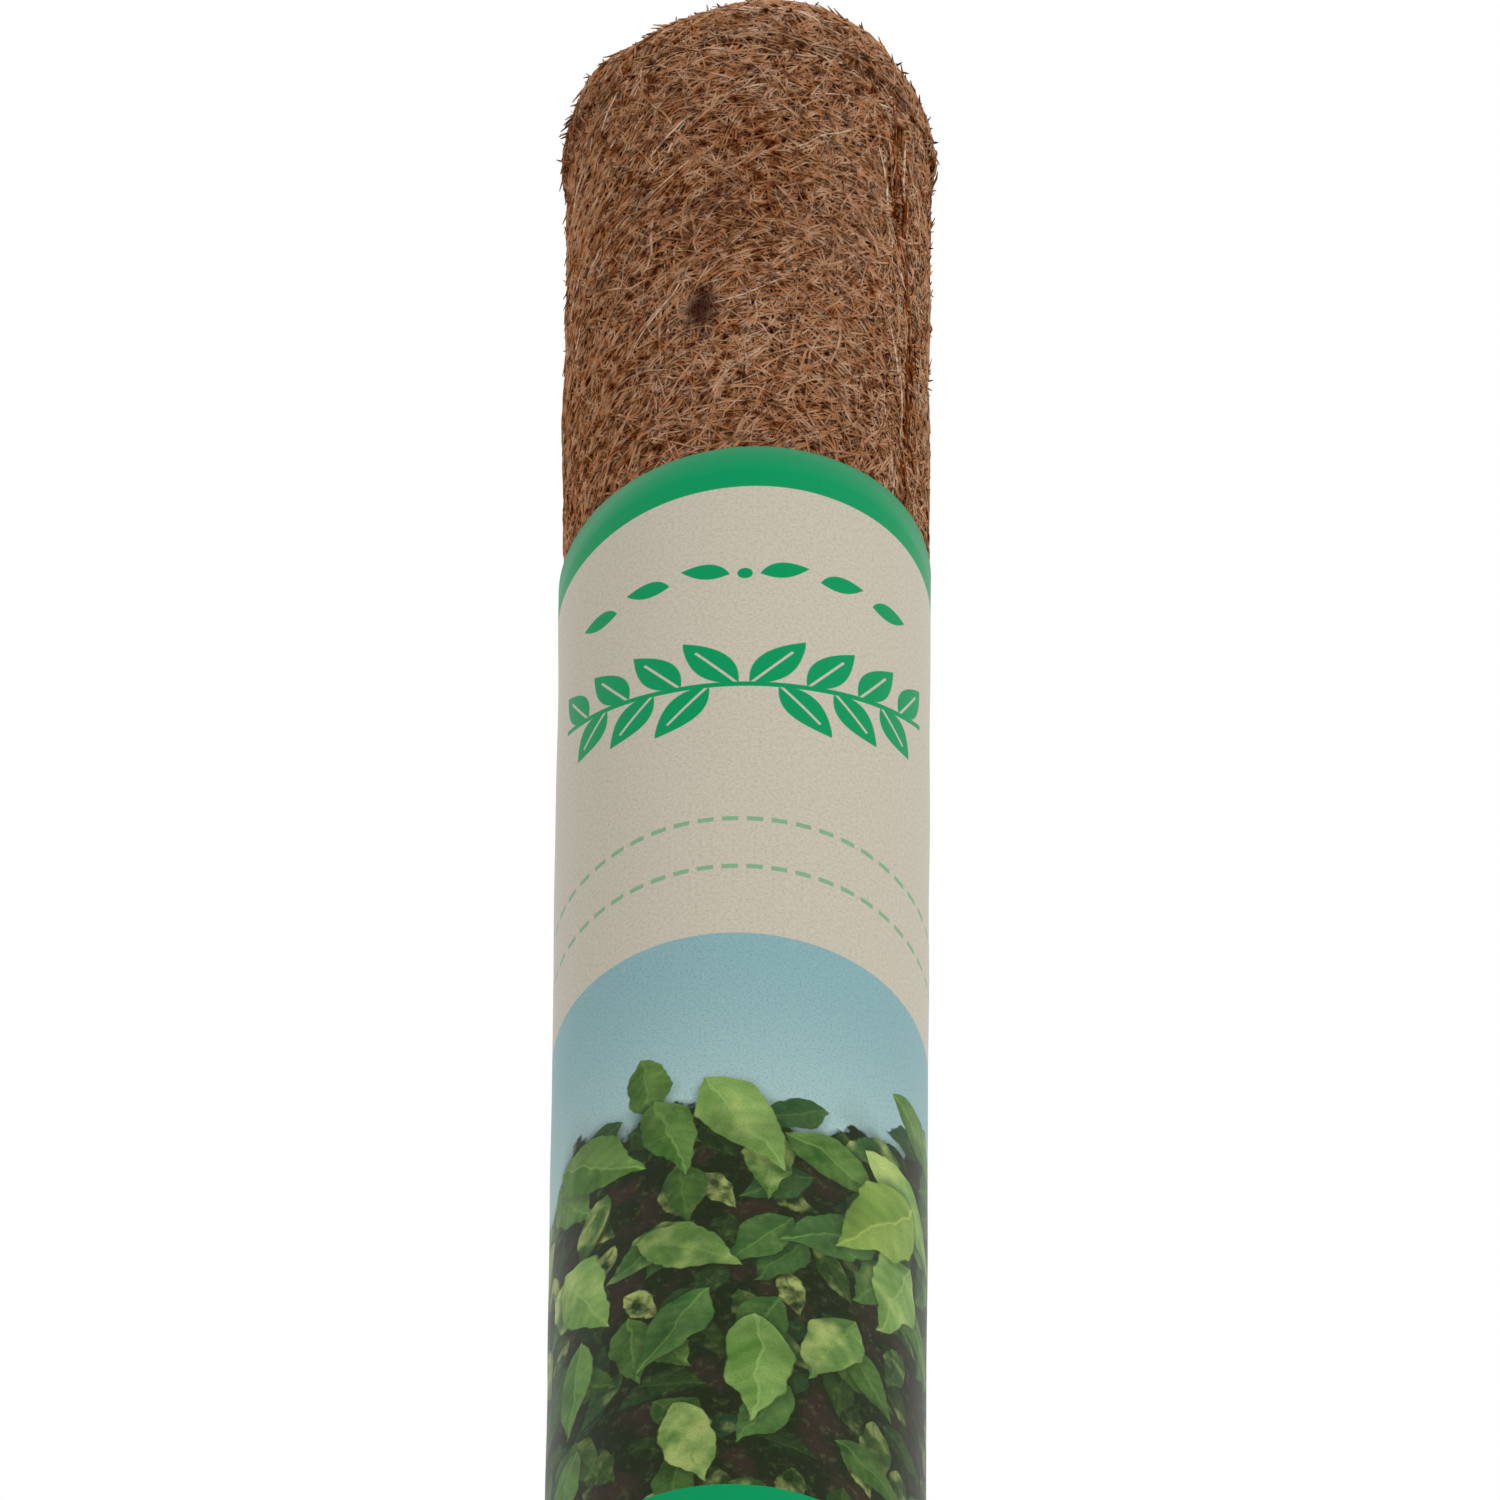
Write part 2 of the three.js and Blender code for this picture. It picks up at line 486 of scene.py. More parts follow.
@dataclass(frozen=True)
class BedFinish(Finish):
    """The matted, latex-bound fibre under the top strands, with streaks at angles about Y and about X."""

    NAME = "coir_bed"
    CONSTANTS = {"Roughness": 0.9, "Diffuse Roughness": 1.0, "Specular IOR Level": 0.0}
    pits: ShadedPits = ShadedPits()
    shadow: Colour = tone(128, 62, 22)
    matted: Colour = tone(154, 100, 62)
    lit: Colour = tone(180, 132, 96)
    streaks: tuple[tuple[Triple, tuple[float, ...]], ...] = (
        ((0, 1, 0), (0.25, 1.0, 1.8, 2.6)),
        ((1, 0, 0), (0.5, 1.3, 2.3)),
    )

    def paint(self, graph: Graph) -> dict[str, Wire]:
        """Pale fibres that cross at all angles over darker matting, partly their own colour and partly
        painted shade where the bump is low and painted light where it is high, with the pits of the strands.

        Args:
            graph: The material's nodes.

        Returns:
            What feeds the shader's sockets.
        """
        place = graph.place()
        depth = place.noise(420, 2)
        shade = depth * 0.5
        for axis, turn in [(axis, turn) for axis, turns in self.streaks for turn in turns]:
            inputs = {"Vector": place, "Axis": axis, "Angle": turn}
            angled = graph.node("ShaderNodeVectorRotate", {"rotation_type": "AXIS_ANGLE"}, inputs)
            fibre = angled.noise((2300, 2300, 230), 1).step(0.5, 0.66)
            shade = shade.at_least(fibre * (depth * 0.7 + 0.35))
        # Painted shade and light: the height that makes the bump also sets the tone, from the shadow tone in
        # hollows to the lit tone on top.
        colour = shade.ramp([(0.15, self.shadow), (0.42, self.matted), (0.75, self.lit)])
        # Painted shade in the same pits as on the strands.
        colour = colour.mixed(self.pits.colour, self.pits.mask(place))
        return {"Base Color": colour, "Normal": shade.bump(0.3 * MM)}


@dataclass(frozen=True)
class SoftwoodFinish(Finish):
    """Planed softwood with growth rings, fine grain and a few darker flecks."""

    NAME = "stake_softwood"
    CONSTANTS = {"Specular IOR Level": 0.3}
    early: Colour = tone(222, 190, 142)
    late: Colour = tone(186, 138, 84)
    fleck: Colour = tone(120, 82, 48)
    ring_width: float = 2.9 * MM

    def paint(self, graph: Graph) -> dict[str, Wire]:
        """Rings by the depth in the log, which drifts along the stake, under grain and flecks.

        Args:
            graph: The material's nodes.

        Returns:
            What feeds the shader's sockets.
        """
        place = graph.place()
        drift = place.noise((45, 45, 3.2), 2)
        uneven = place.noise((160, 160, 4.0), 1)
        x, y, _ = place.parts()
        depth = x * 0.85 + y * 0.5 + (drift - 0.5) * (12 * MM) + (uneven - 0.5) * (5 * MM)
        phase = depth / self.ring_width
        ring = phase - phase.floor()
        late = ring.step(0.2, 0.9) * (1 - ring.step(0.9, 1.0))
        grain = place.noise((1900, 1900, 26), 3)
        fleck = place.noise((900, 900, 40), 2).step(0.66, 0.75)
        colour = graph.mixed(self.early, self.late, late * 0.6 + (grain - 0.5) * 0.6)
        return {
            "Base Color": colour.mixed(self.fleck, fleck * 0.35),
            "Roughness": 0.55 + grain * 0.3,
            "Normal": grain.bump(0.06 * MM, 0.5),
        }


@dataclass(frozen=True)
class StapleFinish(Finish):
    """Zinc-plated wire, dulled in patches and drawn along its length."""

    NAME = "staple_zinc"
    CONSTANTS = {"Metallic": 1.0}
    zinc: Colour = tone(196, 198, 200)
    dull: Colour = tone(132, 132, 130)

    def paint(self, graph: Graph) -> dict[str, Wire]:
        """Dull patches and fine drawing marks.

        Args:
            graph: The material's nodes.

        Returns:
            What feeds the shader's sockets.
        """
        place = graph.place()
        patch = place.noise(900, 3).step(0.4, 0.7)
        drawn = place.noise((700, 700, 9000), 2)
        return {
            "Base Color": graph.mixed(self.zinc, self.dull, patch * 0.7),
            "Roughness": 0.28 + patch * 0.25 + drawn * 0.08,
            "Normal": drawn.bump(0.02 * MM, 0.5),
        }


@dataclass(frozen=True)
class GlueFinish(Finish):
    """Cream contact glue, cloudy and a little stringy."""

    NAME = "label_glue"
    CONSTANTS = {"Specular IOR Level": 0.5}
    cream: Colour = tone(226, 216, 188)
    amber: Colour = tone(196, 170, 118)

    def paint(self, graph: Graph) -> dict[str, Wire]:
        """Amber clouds that stretch along the strip.

        Args:
            graph: The material's nodes.

        Returns:
            What feeds the shader's sockets.
        """
        cloud = graph.place().noise((300, 300, 90), 3)
        return {
            "Base Color": graph.mixed(self.cream, self.amber, cloud.step(0.4, 0.7)),
            "Roughness": 0.3 + cloud * 0.25,
            "Normal": cloud.bump(0.05 * MM),
        }


@dataclass(frozen=True)
class BareCardFinish(Finish):
    """Unprinted grey-white card: the label's inside and its cut edges."""

    NAME = "label_bare_card"
    CONSTANTS = {"Roughness": 0.85, "Specular IOR Level": 0.3}
    card: Colour = tone(205, 199, 187)
    fibre: Colour = tone(172, 164, 149)

    def paint(self, graph: Graph) -> dict[str, Wire]:
        """Fine paper fibre in colour and relief.

        Args:
            graph: The material's nodes.

        Returns:
            What feeds the shader's sockets.
        """
        felt = graph.place().noise(2400, 3)
        colour = graph.mixed(self.card, self.fibre, felt.step(0.45, 0.75))
        return {"Base Color": colour, "Normal": felt.bump(0.03 * MM)}


@dataclass(frozen=True)
class LeafLayer:
    """One layer of printed leaves, in millimetres.

    The share is how many places have a leaf. The reach is how far above the foliage's edge a leaf may be.
    """

    spacing: float
    length: float
    width: float
    shade: Colour
    light: Colour
    share: float
    reach: float
    offset: Triple


@dataclass(frozen=True)
class PrintFinish(Finish):
    """The label's printed face: bands, cream paper with a leaf sprig, and a panel of foliage.

    Heights are in millimetres from the label's lower edge.
    """

    NAME = "label_print"
    CONSTANTS = {"Specular IOR Level": 0.04, "Sheen Weight": 0.1, "Sheen Roughness": 0.3}
    height: float
    band: float = 6.3
    low_band: float = 6.9
    panel_top: float = 91.2
    sprig_level: float = 130.0
    sprig_reach: float = 24.0
    row_level: float = 147.5
    rule_levels: tuple[float, ...] = (109.0, 101.5)
    dash_pitch: float = 2.6
    skyline: float = 72.0
    paper: Colour = tone(189, 182, 166)
    paper_fleck: Colour = tone(170, 163, 147)
    green: Colour = tone(0, 138, 84)
    rule: Colour = tone(122, 160, 124)
    sky: Colour = tone(128, 164, 168)
    haze: Colour = tone(158, 184, 182)
    ground: Colour = tone(28, 38, 18)
    bark: Colour = tone(50, 40, 32)
    glow: Colour = tone(190, 200, 120)
    cool: Colour = tone(40, 84, 56)
    hang: float = 1.5
    sway: float = 1.35
    layers: tuple[LeafLayer, ...] = (
        LeafLayer(7.5, 6.8, 4.2, tone(20, 34, 14), tone(52, 72, 34), 0.9, -6, (3, 9, 0)),
        LeafLayer(9.0, 8.0, 4.8, tone(26, 46, 18), tone(64, 90, 42), 0.85, -4, (17, 4, 0)),
        LeafLayer(11.0, 9.6, 5.8, tone(34, 60, 24), tone(82, 112, 54), 0.8, -3, (41, 27, 0)),
        LeafLayer(13.0, 11.2, 6.7, tone(42, 74, 28), tone(100, 132, 66), 0.75, -2, (77, 63, 0)),
        LeafLayer(15.5, 13.2, 7.9, tone(50, 88, 32), tone(118, 152, 80), 0.68, -1, (23, 81, 0)),
        LeafLayer(19.5, 16.6, 9.3, tone(66, 108, 36), tone(142, 172, 98), 0.55, 1, (59, 37, 0)),
        LeafLayer(25.0, 20.0, 10.6, tone(96, 132, 40), tone(168, 190, 98), 0.42, -3, (11, 52, 0)),
    )

    def paint(self, graph: Graph) -> dict[str, Wire]:
        """Print the paper from the bottom layer up, with a little of its grain over the ink.

        Args:
            graph: The material's nodes.

        Returns:
            What feeds the shader's sockets.
        """
        flat = graph.node("ShaderNodeUVMap", {"uv_map": "label_sheet"}).scaled(100.0)
        across, up, _ = flat.parts()
        grain = flat.noise(2.6, 3, 0.7)
        colour = graph.mixed(self.paper, self.paper_fleck, grain.step(0.36, 0.76))
        colour = colour.mixed(self.green, self._sprig(across, up))
        colour = colour.mixed(self.green, self._leaf_row(across, up))
        for level in self.rule_levels:
            colour = colour.mixed(self.rule, self._rule(across, up, level))
        in_panel = 1 - up.past(self.panel_top, 0.08)
        colour = colour.mixed(self._foliage(flat, up), in_panel)
        bands = up.past(self.height - self.band, 0.06)
        bands = bands + (1 - up.past(self.low_band, 0.06))
        colour = colour.mixed(self.green, bands)
        dents = flat.noise(0.12, 2)
        return {
            "Base Color": colour.mixed(self.paper, grain.step(0.62, 0.8) * 0.12),
            "Roughness": 0.42 + (grain - 0.5) * 0.2,
            "Normal": (grain * 0.03 + dents).bump(0.2 * MM, 0.35),
        }

    @staticmethod
    def _slanted(along: Wire, rise: Wire, slope: float) -> tuple[Wire, Wire]:
        """How far along a slanting leaf a place is, and how far from its middle."""
        lengthwise = along * math.cos(slope) + rise * math.sin(slope)
        return lengthwise, abs(rise * math.cos(slope) - along * math.sin(slope))

    @staticmethod
    def _blade(share: Wire, crosswise: Wire, width: float) -> Wire:
        """One on a leaf that is widest near its foot, else zero.

        Args:
            share: How far along the leaf a place is, from 0 to 1.
            crosswise: How far it is from the leaf's middle.
            width: Scale of the leaf's width.

        Returns:
            The leaf.
        """
        half = share * (1 - share) * (1.25 - share * 0.5) * width
        return (half - crosswise).past(0.0, 0.08) * (share > 0.0) * (share < 1.0)

    def _sprig(self, across: Wire, up: Wire) -> Wire:
        """Two leafy twigs that leave the middle of the label to the left and the right.

        Args:
            across: Distance round the label from the middle of its front.
            up: Height on the label.

        Returns:
            One on the printed twigs, else zero.
        """
        away = abs(across)
        stem = up - self.sprig_level - away * away * 0.012
        inked = 1 - abs(stem).step(0.3, 0.42)
        pitch, slope, longest = 6.2, 0.86, 9.4
        for side, start in ((1, 0.4), (-1, 3.5)):
            cell = ((away - start) / pitch).floor()
            along = away - start - cell * pitch - 0.2
            lengthwise, crosswise = self._slanted(along, stem * side, slope)
            share = lengthwise / (longest - cell * 0.7)
            leaf = self._blade(share, crosswise, 8.0) * (cell > -0.5) * (cell < 2.8 + side * 0.5)
            vein = 1 - (1 - crosswise.step(0.1, 0.22)) * (share < 0.75)
            inked = inked.at_least(leaf * vein)
        return inked * (1 - away.step(self.sprig_reach, self.sprig_reach + 0.2) * (abs(stem) < 0.6))

    def _leaf_row(self, across: Wire, up: Wire) -> Wire:
        """A row of small leaves above the twigs, pointing away from a bud in the label's middle.

        Args:
            across: Distance round the label from the middle of its front.
            up: Height on the label.

        Returns:
            One on the printed leaves, else zero.
        """
        pitch, slope, length, count, start = 6.6, 0.3, 5.6, 3, 1.6
        away = abs(across) - start
        cell = (away / pitch).floor()
        rise = up - self.row_level
        lengthwise, crosswise = self._slanted(away - cell * pitch, rise, slope)
        leaf = self._blade(lengthwise / length, crosswise, 4.6) * (cell > -0.5) * (cell < count - 0.5)
        bud = across.graph.joined(across, rise).length()
        return leaf.at_least(1 - bud.step(0.75, 0.9))

    def _rule(self, across: Wire, up: Wire, level: float) -> Wire:
        """A row of short dashes round the label.

        Args:
            across: Distance round the label.
            up: Height on the label.
            level: Height of the row.

        Returns:
            One on the dashes, else zero.
        """
        phase = across / self.dash_pitch
        dash = abs(phase - phase.floor() - 0.5)
        return (1 - abs(up - level).step(0.26, 0.42)) * (1 - dash.step(0.3, 0.36))

    def _foliage(self, flat: Wire, up: Wire) -> Wire:
        """The panel of hanging leaves against a pale sky.

        Args:
            flat: Place on the label.
            up: Height on the label.

        Returns:
            The panel's colours.
        """
        graph = flat.graph
        colour = graph.mixed(self.haze, self.sky, up.step(55, 90))
        below = self._edge_of_leaves(flat) - up
        dark = graph.mixed(self.ground, self.bark, flat.noise(0.16, 2).step(0.45, 0.6))
        ragged = (flat.noise(0.5, 2) - 0.5) * 5
        colour = colour.mixed(dark, (below + ragged).step(6.2, 7.0))
        for layer in self.layers:
            colour = self._leaves(flat, layer, colour, below.step(1.0, 7.0))
        dapple = 1 - flat.noise(0.07, 2).step(0.3, 0.55)
        colour = colour.mixed(self.ground, dapple * below.step(0.0, 8.0) * 0.45)
        mottle = flat.noise(0.7, 4, 0.7)
        colour = colour.mixed(self.glow, mottle.step(0.5, 0.9) * 0.16)
        return colour.mixed(self.ground, flat.noise(3.4, 1).step(0.4, 0.8) * 0.22)

    def _edge_of_leaves(self, place: Wire) -> Wire:
        """Height of the foliage's upper edge at a place."""
        wave = place.noise((0.06, 0.0, 0.0), 1)
        return (wave - 0.5) * 50 + self.skyline

    def _leaves(self, flat: Wire, layer: LeafLayer, under: Wire, depth: Wire) -> Wire:
        """Print one layer of leaves over what is there.

        Args:
            flat: Place on the label.
            layer: The leaves.
            under: Colours below them.
            depth: How far inside the foliage a place is, for the leaves' shadows.

        Returns:
            The colours with the leaves on top.
        """
        graph = flat.graph
        placed = flat.vector("ADD", layer.offset)
        inputs = {"Vector": placed, "Scale": 1 / layer.spacing, "Randomness": 0.3}
        cells = graph.node("ShaderNodeTexVoronoi", {"voronoi_dimensions": "2D"}, inputs, "Color")
        chance, turn, light = cells.parts()
        centre = cells.also("Position")
        angle = (turn - 0.5) * (2 * self.sway) + self.hang
        inputs = {"Vector": placed.vector("SUBTRACT", centre), "Angle": angle}
        x, y, _ = graph.node("ShaderNodeVectorRotate", {"rotation_type": "Z_AXIS"}, inputs).parts()
        share = x / layer.length + 0.5
        crumple = placed.noise(3.2 / layer.length, 2)
        side = y + (crumple - 0.5) * (layer.width * 0.35)
        side = side + (share - 0.5) * (light - 0.5) * (layer.width * 0.6)
        edge = share * (1 - share) * (1.5 - share) * (layer.width * 1.55) - abs(side)
        home = centre.vector("SUBTRACT", layer.offset)
        _, home_up, _ = home.parts()
        grows = (chance < layer.share) * (home_up - layer.reach < self._edge_of_leaves(home))
        within = (share > 0.0) * (share < 1.0) * grows
        ribs = (share * 44 - abs(side) * (20 / layer.width)).sine()
        lit = light * 0.4 + side.step(-0.4, 0.6) * 0.2 + (crumple - 0.36) * 1.1 + ribs * 0.05
        body = graph.mixed(layer.shade, layer.light, lit.at_least(0.0).at_most(1.0))
        body = body.mixed(self.cool, (turn - 0.55) * 0.9)
        body = body.mixed(self.glow, (crumple * light).step(0.32, 0.6) * 0.6)
        vein = 1 - abs(side).step(0.06, 0.26)
        body = body.mixed(layer.light, vein * 0.5)
        shadow = edge.step(-1.6, 0.4) * within
        colour = under.mixed(self.ground, shadow * depth * 0.55)
        return colour.mixed(body, edge.step(-0.05, 0.2) * within)


def object_from(name: str, mesh: bpy.types.Mesh) -> bpy.types.Object:
    """Put a mesh into the scene at the origin.

    Args:
        name: The object's name.
        mesh: Its mesh.

    Returns:
        The object.
    """
    made = bpy.data.objects.new(name, mesh)
    bpy.context.scene.collection.objects.link(made)
    return made


def grid_object(name: str, points: np.ndarray, close_rows: bool = False) -> bpy.types.Object:
    """Skin a grid of points whose columns close on themselves.

    Args:
        name: The object's name.
        points: Array of rows, columns and coordinates. Faces point outwards if rows rise and columns
            turn against the clock.
        close_rows: Whether the last row joins the first, else both ends are capped.

    Returns:
        An object with a smooth closed mesh.
    """
    rows, columns, _ = points.shape
    index = np.arange(rows * columns).reshape(rows, columns)
    faces: list[tuple[int, ...]] = []
    for row in range(rows if close_rows else rows - 1):
        low, high = index[row], index[(row + 1) % rows]
        right_low, right_high = np.roll(low, -1), np.roll(high, -1)
        faces += zip(low.tolist(), right_low.tolist(), right_high.tolist(), high.tolist())
    if not close_rows:
        faces += [tuple(index[0][::-1].tolist()), tuple(index[-1].tolist())]
    mesh = bpy.data.meshes.new(name)
    mesh.from_pydata(points.reshape(-1, 3).tolist(), [], faces)
    mesh.shade_smooth()
    mesh.update()
    return object_from(name, mesh)


def turned_points(profile: np.ndarray, columns: int) -> np.ndarray:
    """Turn a profile about the pole's axis.

    Args:
        profile: Array of radius and height.
        columns: Points round the axis.

    Returns:
        Array of rows, columns and coordinates.
    """
    angle = np.arange(columns) * (2 * math.pi / columns)
    radius, height = profile[:, 0][:, None], profile[:, 1][:, None]
    level = np.broadcast_to(height, (len(profile), columns))
    return np.stack([radius * np.cos(angle), radius * np.sin(angle), level], axis=-1)


def pushed_out(points: np.ndarray, amount: np.ndarray) -> np.ndarray:
    """Move points away from the pole's axis.

    Args:
        points: Array of rows, columns and coordinates.
        amount: How far each one moves. Next to the axis it moves less.

    Returns:
        The moved points.
    """
    away = np.hypot(points[..., 0], points[..., 1])
    scale = 1 + amount / np.maximum(away, 1 * MM)
    return points * np.stack([scale, scale, np.ones_like(scale)], axis=-1)


def swell(angle: np.ndarray, height: np.ndarray, seed: int, waves: int = 14) -> np.ndarray:
    """Soft irregular lumps round a pole, around zero and mostly within one.

    Args:
        angle: Angles round the axis.
        height: Heights.
        seed: Fixes the lumps.
        waves: How many waves are summed.

    Returns:
        The lumps at each point.
    """
    dice = np.random.default_rng(seed)
    total = np.zeros(np.broadcast(angle, height).shape)
    for _ in range(waves):
        turns = dice.integers(1, 9)
        pitch = dice.uniform(0.012, 0.07)
        phase = dice.uniform(0, 2 * math.pi)
        total += np.sin(turns * angle + 2 * math.pi * height / pitch + phase)
    return total / math.sqrt(waves)


def bell(distance: np.ndarray, width: float) -> np.ndarray:
    """One at no distance, falling smoothly to almost nothing past twice the width."""
    return np.exp(-((distance / width) ** 2))


def eased(share: np.ndarray) -> np.ndarray:
    """Smooth step from 0 to 1 while the share goes from 0 to 1."""
    held = np.clip(share, 0, 1)
    return held * held * (3 - 2 * held)


def wrapped(angle: np.ndarray) -> np.ndarray:
    """The same angles within half a turn of zero."""
    return (angle + math.pi) % (2 * math.pi) - math.pi


class Input(Enum):
    """Kinds of input of a geometry tree."""

    GEOMETRY = "NodeSocketGeometry"
    SIZE = "NodeSocketFloat"
    COUNT = "NodeSocketInt"
    TEXT = "NodeSocketString"


class GeometryTree:
    """A geometry nodes tree with named inputs, whose result is kept as a plain mesh."""

    NAME = ""
    INPUTS: dict[str, Input] = {}

    def __init__(self, material: bpy.types.Material) -> None:
        """Build the tree.

        Args:
            material: What its result is made of.
        """
        self.tree = bpy.data.node_groups.new(self.NAME, "GeometryNodeTree")
        face = self.tree.interface
        for label, kind in self.INPUTS.items():
            face.new_socket(label, in_out="INPUT", socket_type=kind.value)
        face.new_socket("Result", in_out="OUTPUT", socket_type=Input.GEOMETRY.value)
        sockets = [item for item in face.items_tree if item.in_out == "INPUT"]
        self.identifiers = {item.name: item.identifier for item in sockets}
        self.graph = Graph(self.tree)
        source = self.graph.node("NodeGroupInput")
        self.entry = {label: source.also(key) for label, key in self.identifiers.items()}
        solid = self.graph.node("GeometryNodeRealizeInstances", None, {"Geometry": self.shape()})
        solid = self.graph.node("GeometryNodeSetMaterial", None, {"Geometry": solid, "Material": material})
        self.graph.node("NodeGroupOutput", None, {0: solid})

    def shape(self) -> Wire:
        """What the tree makes of its inputs, as a mesh or as instances of one."""
        raise NotImplementedError

    def carried(self, name: str | Wire, kind: str = "FLOAT") -> Wire:
        """A value that each point carries."""
        return self.graph.node("GeometryNodeInputNamedAttribute", {"data_type": kind}, {"Name": name})

    def upright(self, outward: Wire, outward_axis: str, up_axis: str) -> Wire:
        """Turn one axis outwards and then another one as nearly upwards as it goes.

        Args:
            outward: Where the first axis points.
            outward_axis: The first axis.
            up_axis: The other axis.

        Returns:
            The rotation.
        """
        kind = "FunctionNodeAlignRotationToVector"
        facing = self.graph.node(kind, {"axis": outward_axis}, {"Vector": outward})
        settings = {"axis": up_axis, "pivot_axis": outward_axis}
        return self.graph.node(kind, settings, {"Rotation": facing, "Vector": (0, 0, 1)})

    def tube(self, path: Wire, sides: int, radius: Value, ends: dict[str, Any]) -> Wire:
        """A smooth tube along a path.

        Args:
            path: The path.
            sides: How many sides the tube's section has.
            radius: The section's radius.
            ends: How it ends: a scale along the path, or whether its ends are closed.

        Returns:
            The tube's mesh.
        """
        inputs = {"Resolution": sides, "Radius": radius}
        section = self.graph.node("GeometryNodeCurvePrimitiveCircle", None, inputs)
        inputs = {"Curve": path, "Profile Curve": section, **ends}
        skin = self.graph.node("GeometryNodeCurveToMesh", None, inputs)
        return self.graph.node("GeometryNodeSetShadeSmooth", None, {"Geometry": skin})

    def bake(self, carrier: bpy.types.Object, values: dict[str, Any]) -> bpy.types.Object:
        """Run the tree on an object and keep the result as its plain mesh.

        Args:
            carrier: The object, with the geometry that the tree starts from.
            values: Values of the other inputs.

        Returns:
            The same object.
        """
        modifier = carrier.modifiers.new(self.NAME, "NODES")
        modifier.node_group = self.tree
        for label, value in values.items():
            modifier[self.identifiers[label]] = value
        carrier.update_tag()
        evaluated = carrier.evaluated_get(bpy.context.evaluated_depsgraph_get())
        plain = bpy.data.meshes.new_from_object(evaluated)
        plain.name = carrier.name
        start = carrier.data
        carrier.modifiers.remove(modifier)
        carrier.data = plain
        bpy.data.meshes.remove(start)
        return carrier


class Direction(Enum):
    """How strands lie on the felt: middle and half-range of their angle to the pole, in degrees."""

    FELTED = (90.0, 90.0)
    SLANTING = (-42.0, 28.0)
    ALONG_SEAM = (4.0, 11.0)


@dataclass(frozen=True)
class StrandLay:
    """One laying of coir strands, counted by the square metre of bed.

    The pile is the depth that they lie in and the weave how far they go up and down in it. The lift raises
    one end. The weight names the bed's attribute that says where they lie, between the low and high level.
    """

    seed: int
    density: float
    direction: Direction = Direction.FELTED
    length: float = 9 * MM
    radius: float = 0.15 * MM
    pile: float = 0.3 * MM
    weave: float = 0.9 * MM
    bend: float = 2.4 * MM
    lift: float = 0.0
    low: float = -1.0
    high: float = 2.0
    spread: float = 0.35
    tints: tuple[float, float] = (0.0, 1.0)
    points: int = 7
    weight: str = "pile"

    def inputs(self) -> dict[str, Any]:
        """Values for the inputs of the strands' tree.

        Returns:
            The values by the inputs' names.
        """
        angle, angle_range = (math.radians(turn) for turn in self.direction.value)
        darkest, palest = self.tints
        return {
            "Density": self.density, "Length": self.length, "Spread": self.spread, "Angle": angle,
            "Range": angle_range, "Bend": self.bend, "Pile": self.pile, "Weave": self.weave,
            "Lift": self.lift, "Radius": self.radius, "Low": self.low, "High": self.high,
            "Darkest": darkest, "Palest": palest, "Points": self.points, "Seed": self.seed,
            "Weight": self.weight,
        }


